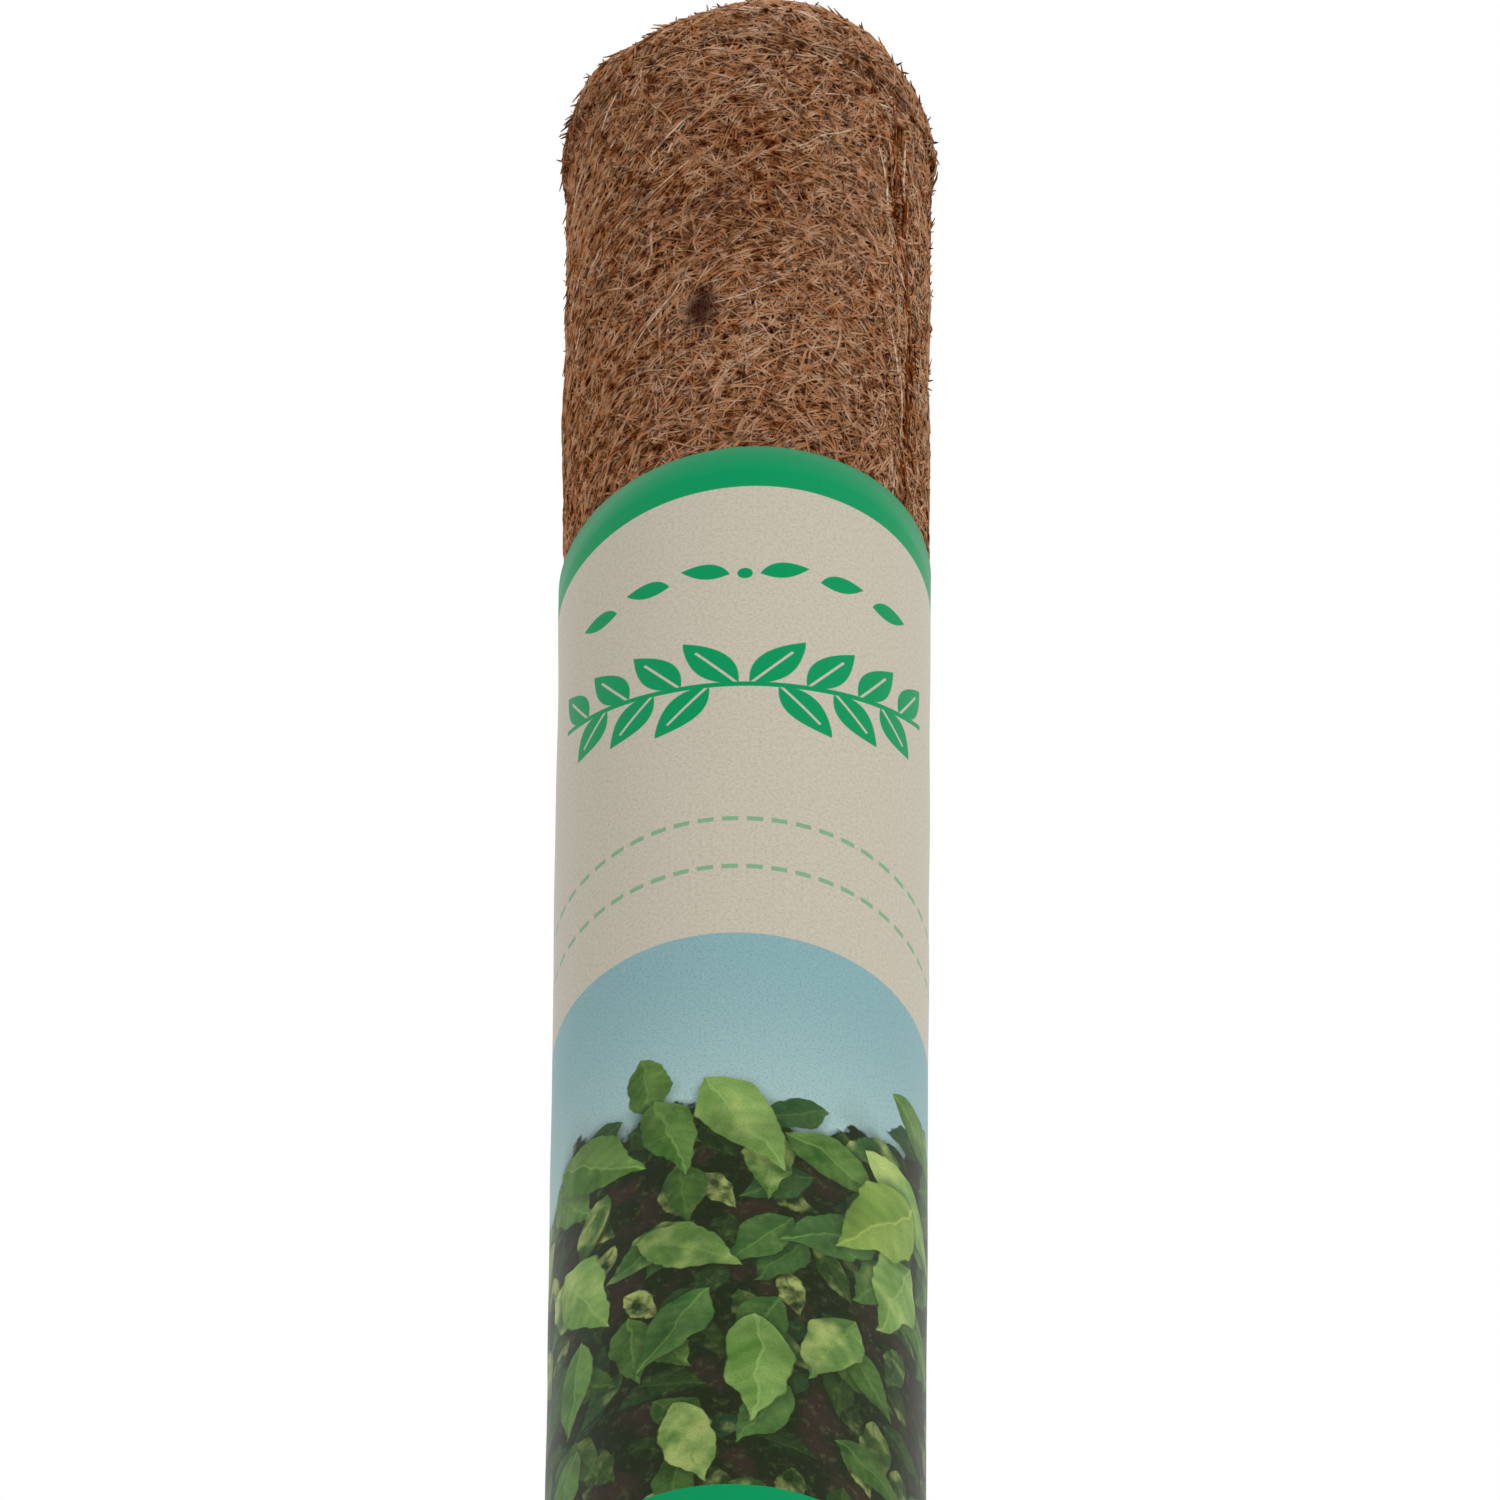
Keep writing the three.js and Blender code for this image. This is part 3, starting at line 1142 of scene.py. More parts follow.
class StrandTree(GeometryTree):
    """Lays curved strands over a felt bed and gives them thickness."""

    NAME = "coir_strands"
    SIZES = (
        "Density", "Length", "Spread", "Angle", "Range", "Bend", "Pile", "Weave", "Lift", "Radius",
        "Low", "High", "Darkest", "Palest",
    )
    INPUTS = {
        "Bed": Input.GEOMETRY,
        **dict.fromkeys(SIZES, Input.SIZE),
        "Points": Input.COUNT,
        "Seed": Input.COUNT,
        "Weight": Input.TEXT,
    }

    def shape(self) -> Wire:
        """Scatter straight strands, settle them on the bed and thicken them."""
        place = self.graph.node("GeometryNodeInputPosition")
        return self._thickened(self._settled(place, self._scattered(place)))

    def _random(self, low: Value, high: Value, draw: int) -> Wire:
        """A random number for each strand. Each draw has a number, which is added to the seed."""
        inputs = {"Min_001": low, "Max_001": high, "Seed": self.entry["Seed"] + draw}
        return self.graph.node("FunctionNodeRandomValue", {"data_type": "FLOAT"}, inputs, "Value_001")

    def _scattered(self, place: Wire) -> Wire:
        """Straight strands on the bed, each with a tint, a number of its own and a height in the pile.

        Args:
            place: The position of a point.

        Returns:
            The strands.
        """
        graph, entry = self.graph, self.entry
        _, _, level = place.parts()
        here = (level > entry["Low"]) * (level < entry["High"])
        density = self.carried(entry["Weight"]) * here * entry["Density"]
        points = graph.node(
            "GeometryNodeDistributePointsOnFaces", {"distribute_method": "RANDOM"},
            {"Mesh": entry["Bed"], "Density": density, "Seed": entry["Seed"]},
        )
        upright = self.upright(points.also("Normal"), "Z", "X")
        angle = self._random(entry["Angle"] - entry["Range"], entry["Angle"] + entry["Range"], 1)
        turn = graph.node("FunctionNodeAxisAngleToRotation", None, {"Axis": (0, 0, 1), "Angle": angle})
        inputs = {"Rotation": upright, "Rotate By": turn}
        laid = graph.node("FunctionNodeRotateRotation", {"rotation_space": "LOCAL"}, inputs)
        ranges = {
            "strand_tint": (entry["Darkest"], entry["Palest"]),
            "strand_self": (0.0, 1.0),
            "strand_height": (0.0, 1.0),
        }
        for draw, (name, (least, most)) in enumerate(ranges.items(), 2):
            points = graph.node(
                "GeometryNodeStoreNamedAttribute", {"data_type": "FLOAT", "domain": "POINT"},
                {"Geometry": points, "Name": name, "Value": self._random(least, most, draw)},
            )
        inputs = {"Start": (-0.5, 0, 0), "End": (0.5, 0, 0)}
        line = graph.node("GeometryNodeCurvePrimitiveLine", None, inputs)
        inputs = {"Curve": line, "Count": entry["Points"]}
        straight = graph.node("GeometryNodeResampleCurve", {"mode": "COUNT"}, inputs)
        short, long = entry["Length"] * (1 - entry["Spread"]), entry["Length"] * (1 + entry["Spread"])
        length = self._random(short, long, 7)
        strands = graph.node(
            "GeometryNodeInstanceOnPoints", None,
            {
                "Points": points, "Instance": straight, "Rotation": laid,
                "Scale": graph.joined(length, length, length),
            },
        )
        return graph.node("GeometryNodeRealizeInstances", None, {"Geometry": strands})

    def _settled(self, place: Wire, strands: Wire) -> Wire:
        """Bend the strands and lay them on the bed, with one end lifted where the lay asks for it.

        Args:
            place: The position of a point.
            strands: Straight strands.

        Returns:
            The settled strands, which carry the bed's normal.
        """
        graph, entry = self.graph, self.entry
        own = self.carried("strand_self")
        sway = graph.node(
            "ShaderNodeTexNoise", {"noise_dimensions": "4D"},
            {"Vector": place, "W": own * 900, "Scale": 130.0, "Detail": 1.0}, "Color",
        )
        bent = sway.vector("SUBTRACT", (0.5, 0.5, 0.5)).scaled(entry["Bend"] * 2)
        strands = graph.node("GeometryNodeSetPosition", None, {"Geometry": strands, "Offset": bent})
        nearest = graph.node("GeometryNodeProximity", {"target_element": "FACES"}, {"Target": entry["Bed"]})
        normal = graph.node(
            "GeometryNodeSampleNearestSurface", {"data_type": "FLOAT_VECTOR"},
            {"Mesh": entry["Bed"], "Value": graph.node("GeometryNodeInputNormal")},
        )
        wave = graph.node(
            "ShaderNodeTexNoise", {"noise_dimensions": "4D"},
            {"Vector": place, "W": own * 700 + 31, "Scale": 420.0, "Detail": 0.0},
        )
        height = (self.carried("strand_height") * 0.6 + 0.15) * entry["Pile"]
        height = (height + (wave - 0.5) * 2 * entry["Weave"]).at_most(entry["Pile"])
        along = graph.node("GeometryNodeSplineParameter")
        height = height + (own * 0.7 + 0.3) * entry["Lift"] * along**3.0
        settled = nearest.vector("ADD", normal.scaled(height))
        strands = graph.node(
            "GeometryNodeStoreNamedAttribute", {"data_type": "FLOAT_VECTOR", "domain": "POINT"},
            {"Geometry": strands, "Name": "felt_normal", "Value": normal},
        )
        return graph.node("GeometryNodeSetPosition", None, {"Geometry": strands, "Position": settled})

    def _thickened(self, strands: Wire) -> Wire:
        """Give the strands a three-sided section that thins out at both ends.

        Args:
            strands: The settled strands.

        Returns:
            Their mesh.
        """
        ends = abs(self.graph.node("GeometryNodeSplineParameter") * 2 - 1) ** 4.0
        girth = self.entry["Radius"] * (1 - ends * 0.6) * (self.carried("strand_self") * 0.7 + 0.65)
        return self.tube(strands, 3, 1.0, {"Scale": girth})


@dataclass(frozen=True)
class Lump:
    """A lump on the plug, or a hollow if it rises by less than nothing: its middle, width and rise."""

    x: float
    y: float
    width: float
    rise: float


@dataclass
class CoirCover:
    """The felted sleeve and the plug that closes its top.

    The sinks are how far the beds lie under the modelled surface. The plug's bed stands a little above it.
    The bald shares are how much of the pile is missing there. The seam's bend is below the shoulder, and
    its strands lie on two lips beside the groove. The eases are the lengths over which the felt goes from
    tight, where the label sits or parks, to free.
    """

    radius: float
    bore: float
    hem: float
    shoulder: float
    top: float
    head_radius: float
    label_low: float
    label_high: float
    label_drop: float
    staple_level: float
    staple_angles: tuple[float, ...] = tuple(math.radians(-47.5 + 90 * turn) for turn in range(4))
    staple_dent: float = 1.7 * MM
    dent_around: float = 5.2 * MM
    dent_upward: float = 2.2 * MM
    bald_dents: float = 0.85
    sink: float = 0.44 * MM
    plug_sink: float = -0.33 * MM
    bulge: float = 0.52 * MM
    tight_swell: float = 0.05 * MM
    free_swell: float = 0.09 * MM
    plug_swell: float = 0.22 * MM
    plug_push: float = 0.7
    plug_edge: float = 0.8 * MM
    calm_crown: float = 6.0 * MM
    label_ease: float = 5.0 * MM
    park_ease: float = 60.0 * MM
    hem_round: float = 5.0 * MM
    round_shoulder: float = 11.0 * MM
    crown: float = 0.6 * MM
    seam: float = math.radians(-30)
    seam_depth: float = 0.6 * MM
    seam_width: float = 0.9 * MM
    groove_width: float = 0.45 * MM
    lip_middle: float = 1.5 * MM
    lip_width: float = 1.3 * MM
    bald_seam: float = 0.55
    seam_wave: float = 11.0 * MM
    seam_wander: float = 0.03
    bend_wander: float = 0.09
    bend_below: float = 24.0 * MM
    bend_reach: float = 22.0 * MM
    plug_lumps: tuple[Lump, ...] = (
        Lump(3.5 * MM, -15.5 * MM, 4.5 * MM, 0.45 * MM),
        Lump(12.5 * MM, -11 * MM, 3 * MM, 0.55 * MM),
        Lump(-12.5 * MM, -11.5 * MM, 4 * MM, -0.8 * MM),
        Lump(-18.5 * MM, 0 * MM, 5 * MM, 0.5 * MM),
        Lump(-5 * MM, -15.5 * MM, 4 * MM, -1.0 * MM),
        Lump(4 * MM, 13 * MM, 8 * MM, 0.4 * MM),
    )
    long_fibres: StrandLay = StrandLay(
        32, 0.03e6, length=11 * MM, radius=0.12 * MM, pile=0.39 * MM, weave=0.3 * MM,
        tints=(1.3, 2.2), points=9,
    )
    columns: int = 144
    lower_pieces: int = 5

    def build(self) -> list[bpy.types.Object]:
        """Make the beds and lay the strands on them.

        Returns:
            Every piece of the cover.
        """
        matted = BedFinish().make()
        tree = StrandTree(StrandFinish().make())
        sleeve = self._sleeve_bed()
        plug = self._plug_bed()
        for bed, node in ((sleeve, "coir_sleeve"), (plug, "coir_top_plug")):
            bed.data.materials.append(matted)
            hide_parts(node)
        pieces = [sleeve, plug]
        for bed, lays in ((plug, self._plug_lays()), (sleeve, self._sleeve_lays())):
            for name, lay in lays.items():
                pieces.append(tree.bake(object_from(name, bed.data.copy()), lay.inputs()))
        for piece in pieces:
            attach(piece, "pole")
            "plug_coir" if "plug" in piece.name else "sleeve_coir"
        return pieces

    def _plug_lays(self) -> dict[str, StrandLay]:
        """How strands lie on the plug.

        Returns:
            The layings by the name of the piece.
        """
        fuzz = StrandLay(31, 0.42e6, length=3.4 * MM, radius=0.12 * MM, lift=0.9 * MM, points=5)
        felt = StrandLay(3, 1.4e6)
        return {"coir_plug_strands": felt, "coir_plug_fuzz": fuzz, "coir_plug_long": self.long_fibres}

    def _sleeve_lays(self) -> dict[str, StrandLay]:
        """How strands lie on the sleeve: above the label, under it, along the seam and below the label.

        Returns:
            The layings by the name of the piece.
        """
        slanting, along = Direction.SLANTING, Direction.ALONG_SEAM
        top = self.label_high - 6 * MM
        felt = StrandLay(5, 0.47e6, low=top)
        lays = {
            "coir_top_strands_1": felt,
            "coir_top_strands_2": replace(felt, seed=51),
            "coir_top_slanting": StrandLay(6, 0.2e6, slanting, 11 * MM, low=top),
            "coir_top_fuzz": StrandLay(
                33, 0.2e6, length=3.6 * MM, radius=0.1 * MM, lift=0.65 * MM,
                low=self.shoulder - 34 * MM, points=5,
            ),
            "coir_top_long": replace(
                self.long_fibres, seed=34, density=0.02e6, direction=slanting, low=self.label_high + 13 * MM
            ),
            "coir_label_strands": StrandLay(
                7, 0.24e6, length=16 * MM, pile=0.24 * MM, low=self.label_low, high=top, points=5
            ),
            "coir_seam_shadow": StrandLay(
                8, 1.3e6, along, radius=0.16 * MM, pile=self.seam_depth + 0.18 * MM, weave=0.5 * MM,
                bend=0.7 * MM, tints=(-2.4, -0.6), points=5, weight="groove",
            ),
            "coir_seam_strands": StrandLay(
                9, 0.1e6, along, 16 * MM, radius=0.14 * MM, pile=0.285 * MM, weave=0.4 * MM,
                bend=1.4 * MM, tints=(1.0, 2.2), points=6, weight="seam",
            ),
        }
        lower = StrandLay(21, 0.57e6, length=11 * MM, radius=0.17 * MM, points=5)
        past_ends = 1 * MM
        span = (self.label_low - self.hem) / self.lower_pieces
        for step in range(self.lower_pieces):
            low = self.hem - past_ends + span * step
            high = low + span + past_ends * (step == self.lower_pieces - 1)
            laid = replace(lower, seed=lower.seed + step, low=low, high=high)
            lays[f"coir_lower_strands_{step + 1}"] = laid
        return lays

    def _sleeve_profile(self) -> tuple[np.ndarray, int]:
        """The sleeve's section: round hem, wall with close rows at the staples, upper end and bore.

        Returns:
            Array of radius and height, and how many of its points are on the outer skin.
        """
        outer = self.radius - self.sink
        arc = np.linspace(0, math.pi / 2, 7)[:-1]
        hem_radius = outer - self.hem_round * (1 - np.sin(arc))
        hem_level = self.hem + self.hem_round * (1 - np.cos(arc))
        close, apart, past_staples = 0.8 * MM, 2.6 * MM, 6 * MM
        pinned = np.arange(self.hem + self.hem_round, self.staple_level + past_staples, close)
        wall = np.concatenate([pinned, np.arange(pinned[-1] + 2 * MM, self.shoulder, apart)])
        cut = 1 * MM
        inside = [
            [outer, self.shoulder],
            [self.bore + 2 * cut, self.shoulder],
            [self.bore, self.shoulder - cut],
            [self.bore, self.hem + cut],
            [self.bore + cut, self.hem],
        ]
        skin_radius = np.append(hem_radius, np.full_like(wall, outer))
        skin = np.stack([skin_radius, np.append(hem_level, wall)], axis=1)
        return np.concatenate([skin, inside]), len(skin) + 1

    def _sleeve_bed(self) -> bpy.types.Object:
        """The felt sleeve under its top strands.

        Returns:
            A closed tube with a rounded hem, a seam groove and dents under the staples.
        """
        outer = self.radius - self.sink
        profile, skin_rows = self._sleeve_profile()
        points = turned_points(profile, self.columns)
        angle = np.arctan2(points[..., 1], points[..., 0])
        level = points[..., 2]
        skin = (np.arange(len(profile)) < skin_rows)[:, None]
        off_seam = wrapped(angle - self._seam_angle(level)) * outer
        near_seam = bell(off_seam, self.seam_width)
        dent = np.zeros_like(level)
        for turn in self.staple_angles:
            off_staple = wrapped(angle - turn) * outer
            beside = 1 + (off_staple / self.dent_around) ** 6
            dent = np.maximum(dent, bell(level - self.staple_level, self.dent_upward) / beside)
        free = self._free(level)
        push = (self.tight_swell + self.free_swell * free) * swell(angle, level, seed=4) + self.bulge * free
        push -= self.seam_depth * near_seam + self.staple_dent * dent
        bed = grid_object("coir_sleeve_bed", pushed_out(points, push * skin), close_rows=True)
        self._weight(bed, "pile", skin * (1 - self.bald_dents * dent) * (1 - self.bald_seam * near_seam))
        self._weight(bed, "seam", skin * bell(np.abs(off_seam) - self.lip_middle, self.lip_width))
        self._weight(bed, "groove", skin * bell(off_seam, self.groove_width))
        return bed

    def _seam_angle(self, level: np.ndarray) -> np.ndarray:
        """Where the seam runs: straight, with a slow wander and one stronger bend below the shoulder.

        Args:
            level: Heights.

        Returns:
            The seam's angle round the axis at each height.
        """
        from_bend = level - (self.shoulder - self.bend_below)
        wander = self.seam_wander + self.bend_wander * bell(from_bend, self.bend_reach)
        return self.seam - wander * np.sin(from_bend / self.seam_wave)

    def _free(self, level: np.ndarray) -> np.ndarray:
        """How freely the felt swells: not under the label nor down where the label parks, else fully.

        Args:
            level: Heights.

        Returns:
            The freedom at each height.
        """
        away = np.maximum(self.label_low - level, level - self.label_high)
        parked = self.label_high + self.label_drop
        return eased(np.minimum(away / self.label_ease, (level - parked) / self.park_ease))

    def _plug_bed(self) -> bpy.types.Object:
        """The plug's head under its top strands.

        Returns:
            A closed dome with a flat underside.
        """
        outer = self.head_radius - self.plug_sink
        bend = self.round_shoulder - self.plug_sink
        flat = outer - bend
        centre = self.top - self.crown - self.round_shoulder
        edge = self.plug_edge
        below = [[self.bore, self.shoulder], [outer - edge, self.shoulder], [outer, self.shoulder + edge]]
        arc = np.linspace(0, math.pi / 2, 12)
        dome = np.stack([flat + bend * np.cos(arc), centre + bend * np.sin(arc)], axis=1)
        share = np.array([0.75, 0.5, 0.25, 0.06])
        crown = np.stack([flat * share, self.top - self.plug_sink - self.crown * share**2], axis=1)
        points = turned_points(np.concatenate([below, dome, crown]), self.columns)
        x, y, level = np.moveaxis(points, -1, 0)
        skin = (np.arange(len(points)) >= len(below) - 1)[:, None]
        push = self.plug_swell * swell(np.arctan2(y, x), level, seed=9)
        for lump in self.plug_lumps:
            push += lump.rise * bell(np.hypot(x - lump.x, y - lump.y), lump.width)
        push *= skin * self.plug_push
        upward = push * np.clip(np.hypot(x, y) / self.calm_crown, 0, 1)
        raised = points + np.stack([0 * x, 0 * y, upward], axis=-1)
        bed = grid_object("coir_plug_bed", pushed_out(raised, push))
        self._weight(bed, "pile", np.broadcast_to(skin, push.shape))
        return bed

    @staticmethod
    def _weight(bed: bpy.types.Object, name: str, values: np.ndarray) -> None:
        """Store how densely strands grow at each point of a bed."""
        data = bed.data.attributes.new(name, "FLOAT", "POINT")
        data.data.foreach_set("value", np.ascontiguousarray(values, dtype=np.float32).ravel())


@dataclass
class Stake:
    """The pointed softwood stake.

    Where its point ends, the edge is eased: each pair says how far inside the full radius the wood is, and
    how far above the point's end.
    """

    radius: float
    top: float
    tip_radius: float = 3.0 * MM
    point: float = 45.0 * MM
    chamfer: float = 1.5 * MM
    tip_edge: float = 0.5 * MM
    eased_edge: tuple[tuple[float, float], ...] = ((0.2 * MM, -0.6 * MM), (0.03 * MM, 1 * MM), (0.0, 3 * MM))
    columns: int = 96

    def build(self) -> bpy.types.Object:
        """Turn the stake and give it its wood.

        Returns:
            The stake.
        """
        slope = (self.radius - self.tip_radius) / self.point
        edge, slight = self.tip_edge, self.tip_edge * 0.3
        rows = [[self.tip_radius - edge, 0.0], [self.tip_radius - slight, slight]]
        rows += [[self.tip_radius + slope * z, z] for z in np.linspace(1 * MM, self.point - 3 * MM, 12)]
        rows += [[self.radius - inside, self.point + above] for inside, above in self.eased_edge]
        rows += [[self.radius, z] for z in np.linspace(self.point + 8 * MM, self.top - self.chamfer, 24)]
        rows += [[self.radius - self.chamfer, self.top]]
        made = grid_object("stake_turned", turned_points(np.array(rows), self.columns))
        made.data.materials.append(SoftwoodFinish().make())
        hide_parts("wooden_stake")
        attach(made, "pole")
        return made


class StapleTree(GeometryTree):
    """Bends one wire staple and sets a copy of it at each place."""

    NAME = "hem_staples"
    INPUTS = {"Places": Input.GEOMETRY, **dict.fromkeys(("Width", "Leg", "Wire", "Bend"), Input.SIZE)}

    def shape(self) -> Wire:
        """Bend the path, give it its wire and copy it to each place.

        Returns:
            Instances of the staple.
        """
        graph, entry = self.graph, self.entry
        inputs = {"Curve": self._path(), "Radius": entry["Bend"], "Limit Radius": True}
        path = graph.node("GeometryNodeFilletCurve", None, inputs)
        wire = self.tube(path, 10, entry["Wire"], {"Fill Caps": True})
        facing = self.upright(self.carried("outward", "FLOAT_VECTOR"), "Y", "Z")
        inputs = {"Points": entry["Places"], "Instance": wire, "Rotation": facing}
        return graph.node("GeometryNodeInstanceOnPoints", None, inputs)

    def _path(self) -> Wire:
        """Leg, crown and leg in straight lines: three sides of a rectangle whose fourth is taken away.

        Returns:
            The open path.
        """
        graph, entry = self.graph, self.entry
        half = entry["Width"] * 0.5 - entry["Wire"]
        inputs = {
            "Point 1": graph.joined(half * -1, entry["Leg"] * -1),
            "Point 2": graph.joined(half * -1, entry["Wire"] * -1),
            "Point 3": graph.joined(half, entry["Wire"] * -1),
            "Point 4": graph.joined(half, entry["Leg"] * -1),
        }
        closed = graph.node("GeometryNodeCurvePrimitiveQuadrilateral", {"mode": "POINTS"}, inputs)
        lines = graph.node("GeometryNodeCurveToMesh", None, {"Curve": closed})
        kept = graph.node("GeometryNodeInputIndex") < 3
        return graph.node("GeometryNodeMeshToCurve", None, {"Mesh": lines, "Selection": kept})


@dataclass
class HemStaples:
    """Wire staples that hold the hem of the felt to the stake."""

    angles: tuple[float, ...]
    level: float
    crown_radius: float
    width: float = 10.0 * MM
    leg: float = 11.0 * MM
    wire: float = 0.42 * MM
    bend: float = 0.9 * MM

    def build(self) -> bpy.types.Object:
        """Mark the staples' places round the pole and set the staples there.

        Returns:
            The staples as one piece.
        """
        outward = [Vector((math.cos(angle), math.sin(angle), 0)) for angle in self.angles]
        places = bpy.data.meshes.new("staple_places")
        raised = Vector((0, 0, self.level))
        places.from_pydata([way * self.crown_radius + raised for way in outward], [], [])
        stored = places.attributes.new("outward", "FLOAT_VECTOR", "POINT")
        stored.data.foreach_set("vector", [number for way in outward for number in way])
        sizes = {"Width": self.width, "Leg": self.leg, "Wire": self.wire, "Bend": self.bend}
        made = StapleTree(StapleFinish().make()).bake(object_from("hem_staples", places), sizes)
        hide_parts(*(f"hem_staple_{number}" for number in range(1, len(self.angles) + 1)))
        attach(made, "pole")
        return made


@dataclass
class Label:
    """The printed card wrapped round the sleeve, its end lapped over its start at the back.

    Its end climbs by the step over the length of the rise. The card leans a little to one side at its upper
    edge, and less lower down, where the print is straight. It lies calm next to the lap.
    """

    low: float
    high: float
    inner: float
    card: float = 0.25 * MM
    lap: float = 14.0 * MM
    rise: float = 12.0 * MM
    step: float = 0.6 * MM
    lean: float = 0.08
    low_lean: float = -0.02
    straight_below: float = 91.2 * MM
    waviness: float = 0.045 * MM
    calm_turns: tuple[float, float] = (1.0, 5.2)
    calm_fade: float = 0.5
    calming: float = 0.9
    columns: int = 236
    rows: int = 44

    def __post_init__(self) -> None:
        """Work out the angles round the card, from its start, and the heights of its rows."""
        self.lap_angle = self.lap / self.inner
        self.turn = np.linspace(0, 2 * math.pi + self.lap_angle, self.columns)
        self.level = np.linspace(self.low, self.high, self.rows)

    def build(self) -> list[bpy.types.Object]:
        """Wrap the card, print it, and finish the glue in its lap.

        Returns:
            The card and the glue strip, which keeps its modelled shape.
        """
        wrap = object_from("label_card", self._card_mesh())
        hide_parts("label_wrap")
        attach(wrap, "label")
        glue = bpy.data.objects["label_glue_strip"]
        glue.data.materials.clear()
        glue.data.materials.append(GlueFinish().make())
        return [wrap, glue]

    def _sheet(self, thickness: float) -> np.ndarray:
        """One side of the card.

        Args:
            thickness: Distance from the card's inner side.

        Returns:
            Array of points, row after row from the lower edge.
        """
        turn, level = self.turn[None, :], self.level[:, None]
        angle = math.pi / 2 - self.lap_angle / 2 + turn
        slope = self.rise / self.inner
        climb = self.step * eased((turn - 2 * math.pi + slope) / slope)
        first, last = self.calm_turns
        near_start = np.clip((first - turn) / self.calm_fade, 0, 1)
        near_end = np.clip((turn - last) / self.calm_fade, 0, 1)
        calm = (1 - self.calming * near_start) * (1 - self.calming * near_end)
        radius = self.inner + thickness + climb + self.waviness * swell(angle, level, seed=12) * calm
        x, y = radius * np.cos(angle), radius * np.sin(angle)
        lean = np.interp(level, [self.low + self.straight_below, self.high], [self.low_lean, self.lean])
        return np.stack([x, y, level + lean * x], axis=-1).reshape(-1, 3)

    def _card_mesh(self) -> bpy.types.Mesh:
        """The card's outer and inner side and its edges, with a finish for the print and one for the rest.

        Returns:
            The mesh.
        """
        count = self.rows * self.columns
        index = np.arange(count).reshape(self.rows, self.columns)
        face = np.stack([index[:-1, :-1], index[:-1, 1:], index[1:, 1:], index[1:, :-1]], -1).reshape(-1, 4)
        rim = np.concatenate([index[0, :], index[1:, -1], index[-1, -2::-1], index[-2:0:-1, 0]])
        after = np.roll(rim, -1)
        edge = np.stack([rim + count, after + count, after, rim], -1)
        faces = np.concatenate([face, face[:, ::-1] + count, edge])
        points = np.concatenate([self._sheet(self.card), self._sheet(0.0)])
        mesh = bpy.data.meshes.new("label_card")
        mesh.from_pydata(points.tolist(), [], faces.tolist())
        mesh.shade_smooth()
        self._unroll(mesh)
        mesh.materials.append(PrintFinish(height=(self.high - self.low) / MM).make())
        mesh.materials.append(BareCardFinish().make())
        number = np.arange(len(faces))
        mesh.polygons.foreach_set("material_index", (number >= len(face)).astype(np.int32))
        sharp = mesh.attributes.new("sharp_face", "BOOLEAN", "FACE")
        sharp.data.foreach_set("value", number >= 2 * len(face))
        mesh.update()
        return mesh

    def _unroll(self, mesh: bpy.types.Mesh) -> None:
        """Map both sides to the flat sheet, from the middle of its front and its lower edge.

        Args:
            mesh: The card. One unit of its map is 100 mm.
        """
        unit = 100 * MM
        middle = math.pi + self.lap_angle / 2
        flat_u = (self.turn - middle) * (self.inner + self.card) / unit
        flat_v = (self.level - self.low) / unit
        flat = np.stack(np.meshgrid(flat_u, flat_v), axis=-1).reshape(-1, 2)
        corner = np.empty(len(mesh.loops), dtype=np.int64)
        mesh.loops.foreach_get("vertex_index", corner)
        uv = mesh.uv_layers.new(name="label_sheet")
        uv.data.foreach_set("uv", flat[corner % len(flat)].astype(np.float32).ravel())


@dataclass(frozen=True)
class Lamp:
    """A square soft lamp: where it hangs, its side, and its power in watts."""

    name: str
    place: Triple
    size: float
    power: float

    def hang(self, target: Vector) -> None:
        """Hang the lamp, out of the camera's sight.

        Args:
            target: What it points at.
        """
        data = bpy.data.lights.new(self.name, "AREA")
        data.size = self.size
        data.energy = self.power
        lamp = bpy.data.objects.new(self.name, data)
        lamp.location = self.place
        lamp.rotation_mode = "QUATERNION"
        lamp.rotation_quaternion = (target - Vector(self.place)).to_track_quat("-Z", "Y")
        lamp.visible_camera = False
        bpy.context.scene.collection.objects.link(lamp)


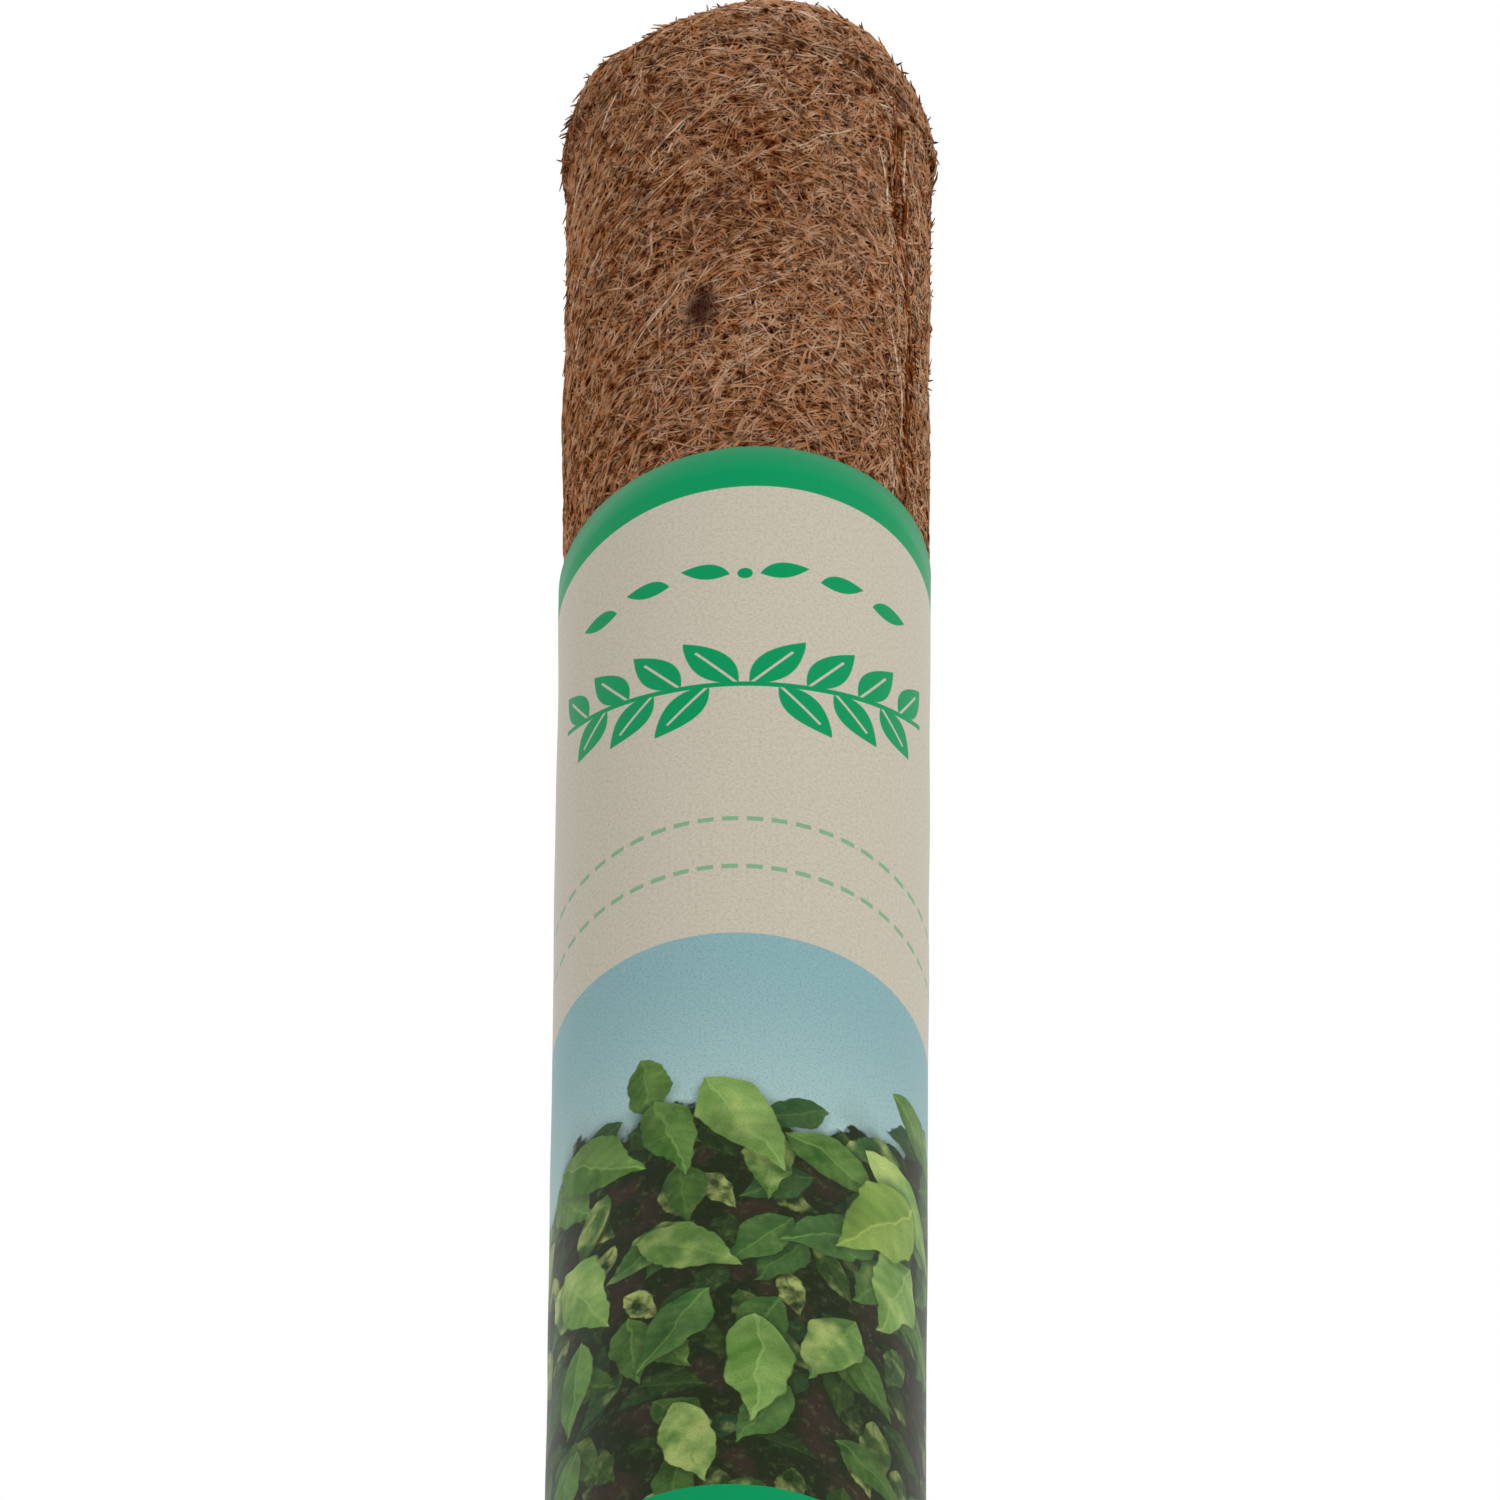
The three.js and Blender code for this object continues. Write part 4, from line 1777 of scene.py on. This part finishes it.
@dataclass(frozen=True)
class Studio:
    """Camera, light and floor: a soft key from the front right and a weaker fill from the left."""

    aim: Vector
    elevation: float = math.radians(-48.0)
    roll: float = math.radians(0.57)
    lens: float = 1000.0
    pixels_per_metre: float = 9480.0
    image: float = 1500.0
    sensor: float = 36.0
    lit_level: float = 0.7
    lamps: tuple[Lamp, ...] = (
        Lamp("key", (1.9, -2.25, 1.3), 1.6, 32.0),
        Lamp("fill", (-2.2, -1.6, 0.9), 1.8, 6.0),
    )
    daylight: float = 0.82
    floor_radius: float = 0.68
    floor_fade: tuple[float, float] = (0.25, 0.66)

    def build(self) -> None:
        """Set up the camera, the lamps, the world and the floor."""
        self._camera()
        for lamp in self.lamps:
            lamp.hang(Vector((0, 0, self.lit_level)))
        self._world()
        self._floor()
        bpy.context.scene.view_settings.view_transform = "Standard"

    def _camera(self) -> None:
        """Look up at the label's front from far below, with a long lens that keeps the sides parallel."""
        data = bpy.data.cameras.new("camera")
        data.lens = self.lens
        data.sensor_width = self.sensor
        distance = self.image * self.lens / self.sensor / self.pixels_per_metre
        data.clip_end = distance * 10
        data.clip_start = distance * 0.01
        ahead = Vector((0, math.cos(self.elevation), -math.sin(self.elevation)))
        level = Vector((1, 0, 0))
        rise = level.cross(ahead)
        right = level * math.cos(self.roll) + rise * math.sin(self.roll)
        upward = rise * math.cos(self.roll) - level * math.sin(self.roll)
        camera = bpy.data.objects.new("camera", data)
        turn = Matrix((right, upward, -ahead)).transposed().to_4x4()
        camera.matrix_world = Matrix.Translation(self.aim - ahead * distance) @ turn
        bpy.context.scene.collection.objects.link(camera)
        bpy.context.scene.camera = camera

    def _world(self) -> None:
        """White to the camera and to reflections, and a plain soft light on the object."""
        world = bpy.data.worlds.new("studio")
        world.use_nodes = True
        bpy.context.scene.world = world
        graph = Graph(world.node_tree)
        shader = next(node for node in world.node_tree.nodes if node.type == "BACKGROUND")
        path = graph.node("ShaderNodeLightPath", None, None, "Is Camera Ray")
        seen = path.at_least(path.also("Is Glossy Ray"))
        seen = seen.at_least(path.also("Is Transmission Ray"))
        graph.feed(shader.inputs["Color"], (1, 1, 1))
        graph.feed(shader.inputs["Strength"], seen * (1 - self.daylight) + self.daylight)

    def _floor(self) -> None:
        """A pale round floor that fades out and lets the camera look through from below."""
        rim = turned_points(np.array([[self.floor_radius, 0.0]]), 96)[0]
        mesh = bpy.data.meshes.new("floor")
        mesh.from_pydata(rim.tolist(), [], [tuple(range(len(rim)))])
        floor = object_from("floor", mesh)
        made = Material("floor_pale", {"Base Color": (0.9, 0.9, 0.89), "Roughness": 0.9})
        graph = made.graph
        far = graph.place().length().step(*self.floor_fade)
        behind = graph.node("ShaderNodeNewGeometry", None, None, "Backfacing")
        clear = graph.node("ShaderNodeBsdfTransparent")
        solid = Wire(graph, made.shader.outputs[0])
        nodes = made.data.node_tree.nodes
        output = next(node for node in nodes if node.type == "OUTPUT_MATERIAL")
        inputs = {0: far.at_least(behind), 1: solid, 2: clear}
        graph.feed(output.inputs["Surface"], graph.node("ShaderNodeMixShader", None, inputs))
        mesh.materials.append(made.data)


def main() -> None:
    """Build every sub-assembly in order."""
    logging.basicConfig(level=logging.INFO, format="%(name)s: %(message)s")
    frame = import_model()
    sleeve_low, sleeve_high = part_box("coir_sleeve")
    _, plug_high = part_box("coir_top_plug")
    _, stake_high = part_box("wooden_stake")
    label_low, label_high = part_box("label_wrap")
    staple_low, staple_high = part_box("hem_staple_1")
    stake_clearance = 0.3 * MM
    staple_sink = 0.9 * MM
    aim_right, aim_below_top = 0.7 * MM, 105 * MM
    cover = CoirCover(
        radius=sleeve_high.x,
        bore=stake_high.x + stake_clearance,
        hem=sleeve_low.z,
        shoulder=sleeve_high.z,
        top=plug_high.z,
        head_radius=plug_high.x,
        label_low=label_low.z,
        label_high=label_high.z,
        label_drop=next(joint["range_m"][0] for joint in frame["joints"] if joint["name"] == "label_slide"),
        staple_level=(staple_low.z + staple_high.z) / 2,
    )
    staples = HemStaples(cover.staple_angles, cover.staple_level, crown_radius=sleeve_high.x - staple_sink)
    pieces = cover.build()
    pieces.append(Stake(radius=stake_high.x, top=stake_high.z).build())
    pieces.append(staples.build())
    pieces += Label(low=label_low.z, high=label_high.z, inner=-label_low.x - Label.card).build()
    Studio(aim=Vector((aim_right, 0, plug_high.z - aim_below_top))).build()
    for piece in pieces:
        LOG.info("%s: %d faces", piece.name, len(piece.data.polygons))


if __name__ == "__main__":
    main()
